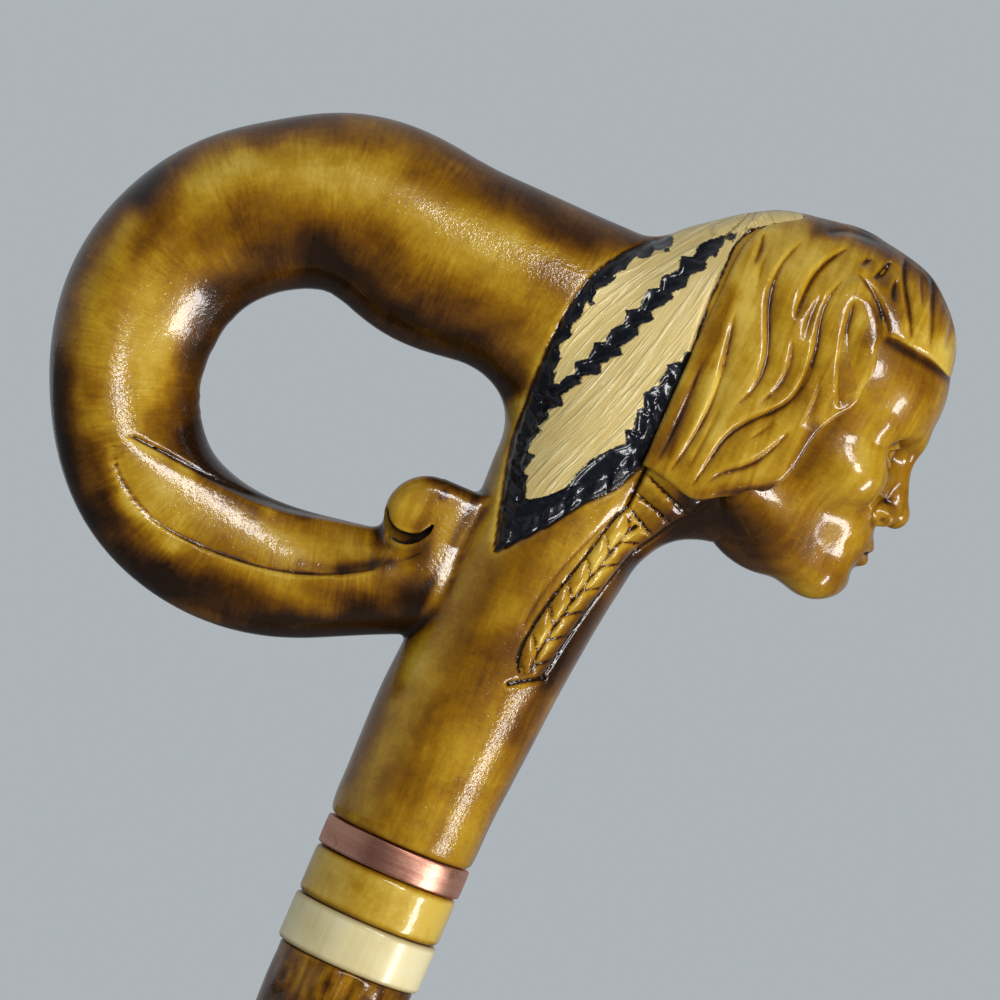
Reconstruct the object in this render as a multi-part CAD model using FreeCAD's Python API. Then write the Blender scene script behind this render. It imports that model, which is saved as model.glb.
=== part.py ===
import FreeCAD, Part
import math
import os

from FreeCAD import Vector

# Whole stick. It stands on its rubber tip, its axis is Z, and the carved head looks along +X.
stick_height = 920.0            # floor to the crown of the carved head

# Rubber tip
tip_height = 45.0
tip_foot_diameter = 36.0
tip_foot_height = 8.0
tip_mouth_diameter = 26.5
tip_mouth_bead = 1.2            # the rolled rim stands this far out of the cone
tip_mouth_bead_height = 4.0
tip_bore_depth = 33.0
tip_foot_ease = 1.2
tread_pad_diameter = 8.0        # plain pad in the middle of the sole
tread_groove_width = 2.2
tread_rib_width = 2.4
tread_groove_depth = 1.6
tip_fit = 0.05                  # radial clearance between the shaft and the tip's bore

# Steel disc under the end of the shaft
disc_thickness = 1.6
disc_edge_gap = 0.3

# Shaft
shaft_foot_diameter = 19.0
shaft_foot_length = 62.0        # straight length that the tip is pushed on to
shaft_top_diameter = 27.0
shaft_top_ease = 0.9
shaft_foot_ease = 1.0
spigot_wall = 3.0               # wood round the threaded insert

# Threaded joint between handle and shaft
stud_diameter = 10.0
stud_in_handle = 35.0
stud_in_insert = 18.0
stud_point = 1.2                # chamfer at both ends
thread_fit = 0.05
insert_wall = 2.0
insert_length = 21.0
stud_end_room = 3.0             # free depth past the stud's lower end

# Rings between handle and shaft
pale_ring_diameter = 28.4
pale_ring_height = 9.4
pale_ring_ease = 0.8
collar_diameter = 28.2
collar_height = 9.7
collar_ease = 1.4
copper_ring_diameter = 28.5
copper_ring_height = 5.5
copper_ring_ease = 0.25
ring_bore_fit = 0.1
glue_line = 0.1                 # between the pieces that are glued
turning_gap = 0.2               # above and below the copper ring

# Carved handle
handle_height = 140.0           # handle's foot to the crown of the head
handle_foot_ease = 1.2
loop_reach = 100.0              # shaft's axis to the back of the loop
grip_depth = 36.0               # thickness of the loop, seen from the side
grip_width = 29.0               # thickness of the loop, seen from above
neck_diameter = 28.6
head_reach = 60.0               # shaft's axis to the forehead
head_height = 67.0              # chin to crown
head_width = 39.0               # across the hair
face_width = 33.0
front_feather_rise = 1.6        # how far each feather stands out of the wood under it
rear_feather_rise = 0.9
braid_thickness = 6.8
braid_strands = 7               # bulges along the braid, each one turn of its strands
scroll_width = 21.0             # thickness of the curled end of the loop, seen from above
scroll_diameter = 16.0
scroll_slot = 1.3               # width of the cut that frees the curl
scroll_slot_turn = 130.0        # degrees that the cut runs round the curl's eye
scroll_slot_start = 75.0        # degrees from straight up where it starts
scroll_ease = 2.0

# Cuts run this far past the faces that they open
overrun = 2.0

# Smooth bodies are laid through their ovals as surfaces of this degree, which keeps them from swinging out
skin_degree = 2


# Heights of the stacked pieces, from the floor up
disc_bottom = tip_height - tip_bore_depth
shaft_bottom = disc_bottom + disc_thickness + glue_line
handle_foot = stick_height - handle_height
copper_bottom = handle_foot - turning_gap - copper_ring_height
collar_bottom = copper_bottom - turning_gap - collar_height
pale_bottom = collar_bottom - glue_line - pale_ring_height
shaft_shoulder = pale_bottom - glue_line
spigot_top = copper_bottom + copper_ring_height

insert_diameter = stud_diameter + 2 * (thread_fit + insert_wall)
spigot_diameter = insert_diameter + 2 * (glue_line + spigot_wall)
ring_bore = spigot_diameter + 2 * ring_bore_fit
insert_bottom = spigot_top - insert_length
stud_bottom = spigot_top - stud_in_insert
stud_top = handle_foot + stud_in_handle
bore_bottom = min(insert_bottom, stud_bottom) - stud_end_room

chin_height = stick_height - head_height

AXIS = Vector(0, 0, 1)
ACROSS = Vector(0, 1, 0)
FORWARD = Vector(1, 0, 0)


def upright(x, z):
    """A point in the handle's middle plane."""
    return Vector(x, 0, z)


def turned(profile):
    """Solid of revolution about the stick's axis, from (radius, height) pairs."""
    corners = [upright(radius, height) for radius, height in profile]
    face = Part.Face(Part.makePolygon(corners + corners[:1]))
    return face.revolve(Vector(0, 0, 0), AXIS, 360)


def oval(centre, first, half_first, second, half_second):
    """Closed smooth curve round an ellipse, always started and run the same way."""
    steps = 8
    points = []
    for step in range(steps):
        turn = 2 * math.pi * step / steps
        points.append(centre + first * (half_first * math.cos(turn)) + second * (half_second * math.sin(turn)))
    curve = Part.BSplineCurve()
    curve.interpolate(Points=points, PeriodicFlag=True)
    return Part.Wire([curve.toShape()])


def smooth_body(ovals):
    return Part.makeLoft(ovals, True, False, False, skin_degree)


def level_body(levels):
    """Smooth solid through level ovals, given as (height, back, front, half width)."""
    ovals = []
    for height, back, front, half_width in levels:
        middle = upright((back + front) / 2, height)
        ovals.append(oval(middle, FORWARD, (front - back) / 2, ACROSS, half_width))
    return smooth_body(ovals)


def slab(edges, half_width):
    """Solid between two side planes, with an outline of lists of points: two make a line, more a curve."""
    outline = []
    for points in edges:
        places = [upright(x, z) - ACROSS * half_width for x, z in points]
        if len(places) == 2:
            outline.append(Part.makeLine(*places))
        else:
            curve = Part.BSplineCurve()
            curve.interpolate(places)
            outline.append(curve.toShape())
    return Part.Face(Part.Wire(outline)).extrude(ACROSS * (2 * half_width))


def ring(bottom, height, outer, bore, ease):
    """Turned ring with eased outer edges."""
    top = bottom + height
    return turned([(bore / 2, bottom), (outer / 2 - ease, bottom), (outer / 2, bottom + ease),
                   (outer / 2, top - ease), (outer / 2 - ease, top), (bore / 2, top)])


def rubber_tip():
    foot = tip_foot_diameter / 2
    mouth = tip_mouth_diameter / 2
    bore = shaft_foot_diameter / 2 + tip_fit
    bead_bottom = tip_height - tip_mouth_bead_height
    profile = [(0, 0)]
    radius = tread_pad_diameter / 2
    while radius + tread_groove_width + tread_rib_width < foot - tip_foot_ease:
        profile += [(radius, 0), (radius, tread_groove_depth)]
        radius += tread_groove_width
        profile += [(radius, tread_groove_depth), (radius, 0)]
        radius += tread_rib_width
    profile += [(foot - tip_foot_ease, 0), (foot, tip_foot_ease), (foot, tip_foot_height - tip_foot_ease),
                (foot - tip_foot_ease, tip_foot_height)]
    cone_foot = (foot + mouth) / 2
    profile += [(cone_foot, tip_foot_height + tip_foot_ease), (mouth, bead_bottom)]
    profile += [(mouth + tip_mouth_bead, bead_bottom + tip_mouth_bead),
                (mouth + tip_mouth_bead, tip_height - tip_mouth_bead), (mouth, tip_height)]
    profile += [(bore, tip_height), (bore, disc_bottom), (0, disc_bottom)]
    return turned(profile)


def tip_washer():
    radius = shaft_foot_diameter / 2 - disc_edge_gap
    return Part.makeCylinder(radius, disc_thickness, Vector(0, 0, disc_bottom))


def shaft():
    foot = shaft_foot_diameter / 2
    top = shaft_top_diameter / 2
    spigot = spigot_diameter / 2
    wood = turned([(0, shaft_bottom), (foot - shaft_foot_ease, shaft_bottom), (foot, shaft_bottom + shaft_foot_ease),
                   (foot, shaft_bottom + shaft_foot_length), (top, shaft_shoulder - shaft_top_ease),
                   (top - shaft_top_ease, shaft_shoulder), (spigot, shaft_shoulder), (spigot, spigot_top),
                   (0, spigot_top)])
    pocket = insert_diameter / 2 + glue_line
    stud_way = stud_diameter / 2 + thread_fit
    hole = Part.makeCylinder(pocket, insert_length + overrun, Vector(0, 0, insert_bottom))
    relief = Part.makeCylinder(stud_way, spigot_top - bore_bottom, Vector(0, 0, bore_bottom))
    return wood.cut(hole.fuse(relief))


def threaded_insert():
    return turned([(stud_diameter / 2 + thread_fit, insert_bottom), (insert_diameter / 2, insert_bottom),
                   (insert_diameter / 2, spigot_top), (stud_diameter / 2 + thread_fit, spigot_top)])


def joining_stud():
    radius = stud_diameter / 2
    return turned([(0, stud_bottom), (radius - stud_point, stud_bottom), (radius, stud_bottom + stud_point),
                   (radius, stud_top - stud_point), (radius - stud_point, stud_top), (0, stud_top)])


# Neck, from the handle's foot up to the back of the head: height as a share of the handle's height, then
# the back edge, the front edge and the half width as shares of the neck's radius.
neck_shares = (
    (0.000, -0.99, 0.99, 0.99), (0.050, -1.02, 1.00, 1.00), (0.120, -1.03, 1.05, 1.02),
    (0.200, -1.03, 1.11, 1.03), (0.270, -1.00, 1.16, 1.03), (0.340, -0.96, 1.23, 1.03),
    (0.410, -0.90, 1.35, 1.03), (0.465, -0.84, 1.54, 1.05), (0.510, -0.85, 1.86, 1.07),
    (0.530, -0.87, 2.35, 1.08), (0.560, -0.93, 2.75, 1.11), (0.590, -1.07, 2.80, 1.14), (0.610, -1.25, 2.80, 1.16),
    (0.632, -1.60, 2.80, 1.17), (0.665, -1.60, 2.80, 1.19), (0.705, -1.25, 2.75, 1.20),
    (0.770, -0.70, 2.75, 1.22), (0.825, -0.38, 2.95, 1.20), (0.870, -0.05, 3.20, 1.15),
    (0.905, 0.28, 3.30, 1.05), (0.940, 0.70, 3.30, 0.88), (0.968, 1.15, 3.10, 0.60),
)

# Loop, from inside the neck round to the scroll: the middle's distance behind the axis as a share of the
# loop's reach, its height as a share of the handle's height, then its depth and width as shares of the grip's.
loop_shares = (
    (-0.02, 0.735, 0.98, 0.92), (0.08, 0.741, 1.03, 0.96), (0.16, 0.744, 1.02, 0.99), (0.25, 0.749, 0.99, 1.00),
    (0.32, 0.747, 1.02, 1.00),
    (0.38, 0.748, 1.03, 1.00), (0.45, 0.758, 1.01, 1.00), (0.56, 0.757, 0.95, 1.00), (0.66, 0.726, 0.89, 0.99),
    (0.74, 0.684, 0.88, 0.99), (0.80, 0.628, 0.87, 0.98), (0.838, 0.529, 0.86, 0.97), (0.827, 0.453, 0.81, 0.95),
    (0.798, 0.395, 0.78, 0.93), (0.747, 0.339, 0.77, 0.91), (0.686, 0.300, 0.76, 0.89), (0.590, 0.270, 0.75, 0.86),
    (0.500, 0.262, 0.73, 0.83), (0.405, 0.269, 0.69, 0.80), (0.320, 0.286, 0.63, 0.77), (0.230, 0.308, 0.56, 0.74),
    (0.120, 0.336, 0.50, 0.70), (0.040, 0.357, 0.44, 0.62),
)

# Face and brow, from the chin up: height as a share of the head's height, then back and front as shares of
# the head's reach, and the half width as a share of the half width of the face.
face_shares = (
    (0.000, 0.72, 0.91, 0.28), (0.035, 0.62, 0.965, 0.52), (0.090, 0.50, 0.965, 0.70), (0.165, 0.42, 0.975, 0.84),
    (0.250, 0.40, 0.980, 0.93), (0.340, 0.38, 0.965, 0.99), (0.430, 0.36, 0.955, 1.00), (0.500, 0.35, 0.985, 1.00),
    (0.620, 0.33, 0.990, 1.00), (0.730, 0.32, 0.975, 0.99), (0.800, 0.32, 0.930, 0.92),
)

# Hair round the head, from the nape up: shares as in the face, but of the half width of the head.
hair_shares = (
    (0.100, 0.20, 0.66, 0.86), (0.180, 0.19, 0.74, 0.92), (0.280, 0.19, 0.79, 0.97), (0.400, 0.18, 0.84, 1.00),
    (0.520, 0.17, 0.95, 1.00), (0.650, 0.10, 1.01, 0.99), (0.745, 0.04, 1.015, 0.96), (0.800, 0.09, 1.005, 0.91),
    (0.845, 0.14, 0.975, 0.84), (0.890, 0.20, 0.930, 0.74), (0.935, 0.27, 0.870, 0.58), (0.972, 0.34, 0.780, 0.37),
    (1.000, 0.46, 0.660, 0.12),
)

# Edges of the hair seen from the side, as shares of the head's reach and of the head's height from the chin.
hair_back_shares = ((0.23, 0.12), (0.225, 0.35), (0.235, 0.60), (0.25, 0.88))
hair_front_shares = ((0.74, 0.735), (0.775, 0.64), (0.765, 0.54), (0.70, 0.44), (0.665, 0.35), (0.64, 0.25),
                     (0.55, 0.18), (0.43, 0.12))
fringe_front_share = 1.10
fringe_edge_share = 0.715
hair_over_share = 1.10

# Outlines of the two feathers, as shares of the neck's radius and of the handle's height. They share the
# edge between them.
feather_tip_shares = (-0.35, 0.412)
feather_split_shares = (-0.72, 0.595)
feather_root_shares = (1.00, 0.950)
feather_back_shares = ((-0.74, 0.700), (-0.55, 0.815), (-0.02, 0.880), (0.55, 0.925))
feather_low_shares = ((-0.55, 0.475), (-0.70, 0.540))
feather_middle_shares = ((-0.38, 0.655), (0.10, 0.750), (0.52, 0.855))
feather_front_shares = ((0.98, 0.830), (0.96, 0.690), (0.90, 0.590), (0.45, 0.515), (0.05, 0.455))
feathered_loop_rows = 5         # rows of the loop's table that the feathers reach over

# Middle line of the braid from its binding down: places as shares of the neck's radius and of the handle's
# height, thickness as a share of the braid's. The bulges swell and shrink it by the last share.
braid_path_shares = ((1.38, 0.590, 1.25), (1.26, 0.530, 1.20), (1.16, 0.500, 1.05), (1.02, 0.445, 1.02),
                     (0.89, 0.390, 0.95), (0.77, 0.335, 0.85), (0.64, 0.272, 0.60))
braid_bulge_share = 0.13

# Nose, lips and chin: height of each oval as a share of the head's height, middle and half length as shares
# of the head's reach, half width as a share of the half width of the face.
nose_shares = ((0.465, 0.945, 0.020, 0.10), (0.380, 0.970, 0.045, 0.15), (0.305, 0.995, 0.060, 0.23),
               (0.270, 1.000, 0.060, 0.27), (0.245, 0.985, 0.035, 0.20))
upper_lip_shares = ((0.212, 0.955, 0.018, 0.16), (0.190, 0.965, 0.040, 0.32), (0.170, 0.955, 0.030, 0.30))
lower_lip_shares = ((0.165, 0.955, 0.028, 0.26), (0.145, 0.960, 0.038, 0.25), (0.122, 0.950, 0.015, 0.14))
eye_place_shares = (0.935, 0.445, 0.42)
eye_size_share = 0.10
socket_size_shares = (0.060, 0.075, 0.24)

# Curled end of the loop: middle of the curl as shares of the loop's reach and of the handle's height, and
# how far its root reaches down and into the neck as shares of the curl's diameter.
scroll_place_shares = (0.192, 0.411)
scroll_root_shares = (0.85, 1.00)
scroll_eye_share = 0.60
scroll_eye_back_share = 0.40


def neck_levels(rise=0):
    """Level ovals of the neck, eased at its foot, or of a skin that stands this far out of it."""
    radius = neck_diameter / 2
    levels = [(handle_foot + height * handle_height, back * radius - rise, front * radius + rise,
               width * radius + rise) for height, back, front, width in neck_shares]
    foot, back, front, width = levels[0]
    eased = (foot, back + handle_foot_ease, front - handle_foot_ease, width - handle_foot_ease)
    return [eased, (foot + handle_foot_ease, back, front, width)] + levels[1:]


def head_levels(shares, half_width):
    return [(chin_height + height * head_height, back * head_reach, front * head_reach, width * half_width)
            for height, back, front, width in shares]


def neck_flank(x, z):
    """Half width of the neck at a place seen from the side."""
    levels = neck_levels()
    for low, high in zip(levels, levels[1:]):
        if low[0] <= z <= high[0]:
            part = (z - low[0]) / (high[0] - low[0])
            back, front, width = [a + (b - a) * part for a, b in zip(low[1:], high[1:])]
            off_middle = (x - (back + front) / 2) / ((front - back) / 2)
            return width * math.sqrt(max(0, 1 - off_middle ** 2))
    return 0


def loop(rise=0, count=len(loop_shares)):
    """Hand loop, or the start of a skin over it: ovals square to its middle line, from inside the neck on."""
    middle = [upright(-back * loop_reach, handle_foot + height * handle_height)
              for back, height, depth, width in loop_shares]
    ovals = []
    for place in range(count):
        along = middle[min(place + 1, len(middle) - 1)] - middle[max(place - 1, 0)]
        outward = along.cross(ACROSS).normalize()
        depth, width = loop_shares[place][2:]
        half_depth, half_width = depth * grip_depth / 2 + rise, width * grip_width / 2 + rise
        ovals.append(oval(middle[place], outward, half_depth, ACROSS, half_width))
    return smooth_body(ovals)


def scroll():
    """Curled end of the loop: a thick disc joined to the neck, and the curved cut that frees its eye."""
    back, height = scroll_place_shares
    middle = upright(-back * loop_reach, handle_foot + height * handle_height)
    radius = scroll_diameter / 2
    half = scroll_width / 2
    curl = turned([(0, -half), (radius - scroll_ease, -half), (radius, scroll_ease - half),
                   (radius, half - scroll_ease), (radius - scroll_ease, half), (0, half)])
    curl.rotate(Vector(0, 0, 0), FORWARD, 90)
    curl.translate(middle)
    forward, down = [share * scroll_diameter for share in scroll_root_shares]
    side = half - scroll_ease / 2
    root = Part.makeBox(forward, 2 * side, radius + down)
    root.translate(middle - ACROSS * side - AXIS * down)
    eye_radius = scroll_eye_share * radius
    outer = Part.makeCylinder(eye_radius + scroll_slot, 2 * grip_width, Vector(0, 0, 0), ACROSS, scroll_slot_turn)
    inner = Part.makeCylinder(eye_radius, 3 * grip_width, -ACROSS * grip_width / 2, ACROSS)
    slot = outer.cut(inner)
    slot.rotate(Vector(0, 0, 0), ACROSS, scroll_slot_start)
    slot.translate(middle - ACROSS * grip_width - FORWARD * scroll_eye_back_share * radius)
    return curl.fuse(root), slot


def hair():
    """Hair mass: a rounded cap, kept only inside the hair's side outline."""
    cap = level_body(head_levels(hair_shares, head_width / 2))

    def place(shares):
        return shares[0] * head_reach, chin_height + shares[1] * head_height

    back = [place(shares) for shares in hair_back_shares]
    front = [place(shares) for shares in hair_front_shares]
    fringe = place((fringe_front_share, fringe_edge_share))
    over_front = place((fringe_front_share, hair_over_share))
    over_back = place((0, hair_over_share))
    over_low = place((0, hair_back_shares[-1][1]))
    outline = [back, [back[-1], over_low], [over_low, over_back], [over_back, over_front], [over_front, fringe],
               [fringe, front[0]], front, [front[-1], back[0]]]
    return cap.common(slab(outline, head_width))


def feathers():
    """Two feathers on each side, standing out of the neck and the loop's start as thin leaves."""
    radius = neck_diameter / 2

    def place(shares):
        return shares[0] * radius, handle_foot + shares[1] * handle_height

    tip, split, root = place(feather_tip_shares), place(feather_split_shares), place(feather_root_shares)
    middle = [split] + [place(shares) for shares in feather_middle_shares] + [root]
    back = [split] + [place(shares) for shares in feather_back_shares] + [root]
    front = [root] + [place(shares) for shares in feather_front_shares] + [tip]
    low = [tip] + [place(shares) for shares in feather_low_shares] + [split]
    leaves = []
    for rise, outline in ((rear_feather_rise, [back, middle[::-1]]), (front_feather_rise, [middle, front, low])):
        skin = level_body(neck_levels(rise)).fuse(loop(rise, feathered_loop_rows))
        leaves.append(skin.common(slab(outline, head_width)))
    return leaves


def braids():
    """A braid down each flank: strands as bulges along a thinning body, the first ones its binding."""
    radius = neck_diameter / 2
    steps = 2 * braid_strands
    solids = []
    for side in (-1, 1):
        ovals = []
        for step in range(steps + 1):
            along = step / steps * (len(braid_path_shares) - 1)
            low = min(int(along), len(braid_path_shares) - 2)
            x_share, z_share, size = [a + (b - a) * (along - low)
                                      for a, b in zip(braid_path_shares[low], braid_path_shares[low + 1])]
            x = x_share * radius
            z = handle_foot + z_share * handle_height
            half = size * braid_thickness / 2 * (1 + braid_bulge_share * (-1) ** (step + 1))
            middle = Vector(x, side * (neck_flank(x, z) - half / 2), z)
            ovals.append(oval(middle, FORWARD, half, ACROSS, half))
        solids.append(smooth_body(ovals))
    return solids


def face_forms():
    """Nose and lips, each a small rounded body on the face."""
    half = face_width / 2
    forms = []
    for shares in (nose_shares, upper_lip_shares, lower_lip_shares):
        levels = [(chin_height + height * head_height, (middle - length) * head_reach,
                   (middle + length) * head_reach, width * half) for height, middle, length, width in shares]
        forms.append(level_body(levels[::-1]))
    return forms


def ellipsoid(middle, half_x, half_y, half_z):
    ball = Part.makeSphere(1)
    stretch = FreeCAD.Matrix()
    stretch.scale(half_x, half_y, half_z)
    stretch.move(middle)
    return ball.transformGeometry(stretch)


def handle():
    """The carved handle, one piece of wood."""
    neck = level_body(neck_levels())
    face = level_body(head_levels(face_shares, face_width / 2))
    curl, slot = scroll()
    wood = neck.fuse(loop()).fuse(face)
    forward, height, aside = eye_place_shares
    for side in (-1, 1):
        eye = Vector(forward * head_reach, side * aside * face_width / 2, chin_height + height * head_height)
        deep, high, wide = socket_size_shares
        wood = wood.cut(ellipsoid(eye, deep * head_reach, wide * face_width / 2, high * head_height))
    wood = wood.fuse(curl).cut(slot)
    for form in [hair()] + feathers() + braids() + face_forms():
        wood = wood.fuse(form)
    radius = stud_diameter / 2 + thread_fit
    bore = Part.makeCylinder(radius, stud_in_handle + glue_line + overrun, Vector(0, 0, handle_foot - overrun))
    return wood.cut(bore)


nodes = {
    "rubber_tip": rubber_tip(),
    "tip_washer": tip_washer(),
    "shaft": shaft(),
    "threaded_insert": threaded_insert(),
    "pale_ring": ring(pale_bottom, pale_ring_height, pale_ring_diameter, ring_bore, pale_ring_ease),
    "stained_collar": ring(collar_bottom, collar_height, collar_diameter, ring_bore, collar_ease),
    "copper_ring": ring(copper_bottom, copper_ring_height, copper_ring_diameter, ring_bore, copper_ring_ease),
    "joining_stud": joining_stud(),
    "handle": handle(),
}

os.makedirs("parts", exist_ok=True)
for name, shape in nodes.items():
    shape.exportStep("parts/" + name + ".step")
    print(name, "solids", len(shape.Solids), "faces", len(shape.Faces), "valid", shape.isValid(),
          "volume", round(shape.Volume))
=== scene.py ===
import math

import bpy
import numpy as np
from mathutils import Matrix, Vector


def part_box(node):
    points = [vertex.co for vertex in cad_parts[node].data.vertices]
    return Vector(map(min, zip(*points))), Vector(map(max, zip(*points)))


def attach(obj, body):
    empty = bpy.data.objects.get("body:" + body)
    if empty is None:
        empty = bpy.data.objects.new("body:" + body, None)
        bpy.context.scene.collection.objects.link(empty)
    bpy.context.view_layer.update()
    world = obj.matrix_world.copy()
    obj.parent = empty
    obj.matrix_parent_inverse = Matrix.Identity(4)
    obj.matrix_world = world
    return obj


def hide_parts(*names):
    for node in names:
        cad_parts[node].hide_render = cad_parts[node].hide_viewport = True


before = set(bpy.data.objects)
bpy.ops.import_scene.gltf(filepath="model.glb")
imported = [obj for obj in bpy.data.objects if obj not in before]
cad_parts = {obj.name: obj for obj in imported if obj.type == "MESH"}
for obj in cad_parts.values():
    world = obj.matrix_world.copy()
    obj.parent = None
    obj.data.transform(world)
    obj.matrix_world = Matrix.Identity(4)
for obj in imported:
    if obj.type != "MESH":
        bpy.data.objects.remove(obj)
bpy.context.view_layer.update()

# All shapes are worked out in mm from the middle of the copper ring: x towards the face, z up the stick.
ringLow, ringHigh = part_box("copper_ring")
ringMiddle = np.array([0, 0, 500 * (ringLow[2] + ringHigh[2])])


def splineThrough(knots, values, at):
    # natural cubic spline through the values at the knots, read at the given places
    knots, values = np.asarray(knots, float), np.asarray(values, float)
    step, last = np.diff(knots), len(knots) - 1
    inner = np.arange(1, last)
    system, right = np.eye(last + 1), np.zeros_like(values)
    system[inner, inner - 1], system[inner, inner + 1] = step[:-1], step[1:]
    system[inner, inner] = 2 * (step[:-1] + step[1:])
    right[1:-1] = 6 * np.diff(np.diff(values, axis=0) / step[:, None], axis=0)
    bend = np.linalg.solve(system, right)
    place = np.clip(np.searchsorted(knots, at, "right") - 1, 0, last - 1)
    left, rest, width = (at - knots[place])[:, None], (knots[place + 1] - at)[:, None], step[place][:, None]
    return ((bend[place] * rest ** 3 + bend[place + 1] * left ** 3) / (6 * width)
            + (values[place] / width - bend[place] * width / 6) * rest
            + (values[place + 1] / width - bend[place + 1] * width / 6) * left)


def curveThrough(rows, spacing=0.6):
    # smooth line through rows of numbers that start with x and z, in steps of about the spacing
    rows = np.asarray(rows, float)
    knots = np.concatenate([[0], np.cumsum(np.hypot(*np.diff(rows[:, :2], axis=0).T))])
    at = np.linspace(0, knots[-1], max(3, int(knots[-1] / spacing) + 1))
    if len(rows) == 2:
        return rows[0] + (rows[1] - rows[0]) * (at / knots[-1])[:, None]
    return splineThrough(knots, rows, at)


def tableOf(rows, step=0.25):
    # rows that start with a height, as a finely stepped table
    rows = np.asarray(rows, float)
    at = np.arange(rows[0, 0], rows[-1, 0], step)
    return at, splineThrough(rows[:, 0], rows[:, 1:], at)


def nearestOn(x, z, line):
    # nearest place on a line of short runs: its distance, its side (above 0 to the left of travel) and
    # the place as a fractional index
    shape = np.broadcast(x, z).shape
    spots = np.stack([np.broadcast_to(x, shape).ravel(), np.broadcast_to(z, shape).ravel()], 1)
    line = line[:, :2]
    distance, side, place = np.full(len(spots), np.inf), np.zeros(len(spots)), np.zeros(len(spots))
    near, batch = np.empty(len(spots), int), 40000  # spots compared at a time, to keep the memory small
    for start in range(0, len(spots), batch):
        part = spots[start:start + batch]
        near[start:start + batch] = ((line ** 2).sum(1) - 2 * part @ line.T).argmin(1)
    for first in (near - 1, near):
        first = np.clip(first, 0, len(line) - 2)
        run, off = line[first + 1] - line[first], spots - line[first]
        share = np.clip((run * off).sum(1) / (run ** 2).sum(1), 0, 1)
        gap = np.hypot(*(off - run * share[:, None]).T)
        better = gap < distance
        distance, place = np.where(better, gap, distance), np.where(better, first + share, place)
        side = np.where(better, np.sign(run[:, 0] * off[:, 1] - run[:, 1] * off[:, 0]), side)
    return distance.reshape(shape), side.reshape(shape), place.reshape(shape)


def mapOf(work, xRange, zRange, step):
    # a function of x and z kept as a grid, to be read quickly
    xs = np.arange(xRange[0], xRange[1] + step, step)
    zs = np.arange(zRange[0], zRange[1] + step, step)
    return work(xs[:, None], zs[None, :]), xRange[0], zRange[0], step


def readMap(kept, x, z):
    # straight-line reading between the four nearest corners of a kept grid
    grid, xStart, zStart, step = kept
    u = np.clip((x - xStart) / step, 0, grid.shape[0] - 1.001)
    v = np.clip((z - zStart) / step, 0, grid.shape[1] - 1.001)
    i, j = u.astype(int), v.astype(int)
    u, v = u - i, v - j
    return ((grid[i, j] * (1 - u) + grid[i + 1, j] * u) * (1 - v)
            + (grid[i, j + 1] * (1 - u) + grid[i + 1, j + 1] * u) * v)


def ease(low, high, value):
    # 0 below low, 1 above high, smooth between; low above high turns it round
    share = np.clip((value - low) / (high - low), 0, 1)
    return share * share * (3 - 2 * share)


def within(x, z, loop):
    # distance to a closed outline, below 0 inside it: a place is inside when a level line from it crosses
    # the outline an odd number of times
    distance, _, place = nearestOn(x, z, loop)
    flatX, flatZ = (np.broadcast_to(part, distance.shape).ravel() for part in (x, z))
    odd = np.zeros(distance.size, bool)
    for (x1, z1), (x2, z2) in zip(loop[:-1, :2], loop[1:, :2]):
        spans = (z1 > flatZ) != (z2 > flatZ)
        odd[spans] ^= flatX[spans] < (x2 - x1) * (flatZ[spans] - z1) / (z2 - z1) + x1
    return np.where(odd.reshape(distance.shape), -distance, distance), place


def meld(a, b, size):
    # union of two fields with a fillet of about the size
    share = np.clip(0.5 + 0.5 * (b - a) / size, 0, 1)
    return b + (a - b) * share - size * share * (1 - share)


def cutBy(a, b, size):
    # what is inside both fields, with the edge between them eased
    return -meld(-a, -b, size)


def ovalField(dx, dy, halfX, halfY):
    # distance to an ellipse, from the slope of its own equation
    far = np.sqrt((dx / halfX) ** 2 + (dy / halfY) ** 2)
    slope = np.sqrt((dx / halfX ** 2) ** 2 + (dy / halfY ** 2) ** 2)
    return far * (far - 1) / np.maximum(slope, 1e-6)


def boxyField(dx, dy, halfX, halfY, power):
    # distance to an oval |dx/halfX|^power + |dy/halfY|^power = 1, from the slope of its own equation
    u, v = np.abs(dx / halfX), np.abs(dy / halfY)
    far = np.maximum((u ** power + v ** power) ** (1 / power), 1e-3)
    slope = far ** (1 - power) * np.hypot(u ** (power - 1) / halfX, v ** (power - 1) / halfY)
    return (far - 1) / np.maximum(slope, 1e-6)


def ballField(x, y, z, middle, half):
    # distance to an ellipsoid, from the slope of its own equation
    dx, dy, dz = x - middle[0], y - middle[1], z - middle[2]
    far = np.sqrt((dx / half[0]) ** 2 + (dy / half[1]) ** 2 + (dz / half[2]) ** 2)
    slope = np.sqrt((dx / half[0] ** 2) ** 2 + (dy / half[1] ** 2) ** 2 + (dz / half[2] ** 2) ** 2)
    return far * (far - 1) / np.maximum(slope, 1e-6)


def rodField(x, y, z, start, end, startRadius, endRadius):
    # distance to a straight rod with round ends and a radius that changes evenly
    run = np.array(end, float) - start
    share = (x - start[0]) * run[0] + (y - start[1]) * run[1] + (z - start[2]) * run[2]
    share = np.clip(share / (run @ run), 0, 1)
    gap = np.sqrt((x - start[0] - share * run[0]) ** 2 + (y - start[1] - share * run[1]) ** 2
                  + (z - start[2] - share * run[2]) ** 2)
    return gap - (startRadius + (endRadius - startRadius) * share)


def trueMm(field, x, y, z, step=0.2, leastSlope=0.3):
    # a field divided by its slope, so that it counts in real mm
    here = field(x, y, z)
    slope = np.sqrt((field(x + step, y, z) - here) ** 2 + (field(x, y + step, z) - here) ** 2
                    + (field(x, y, z + step) - here) ** 2) / step
    return here / np.maximum(slope, leastSlope)


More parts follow.
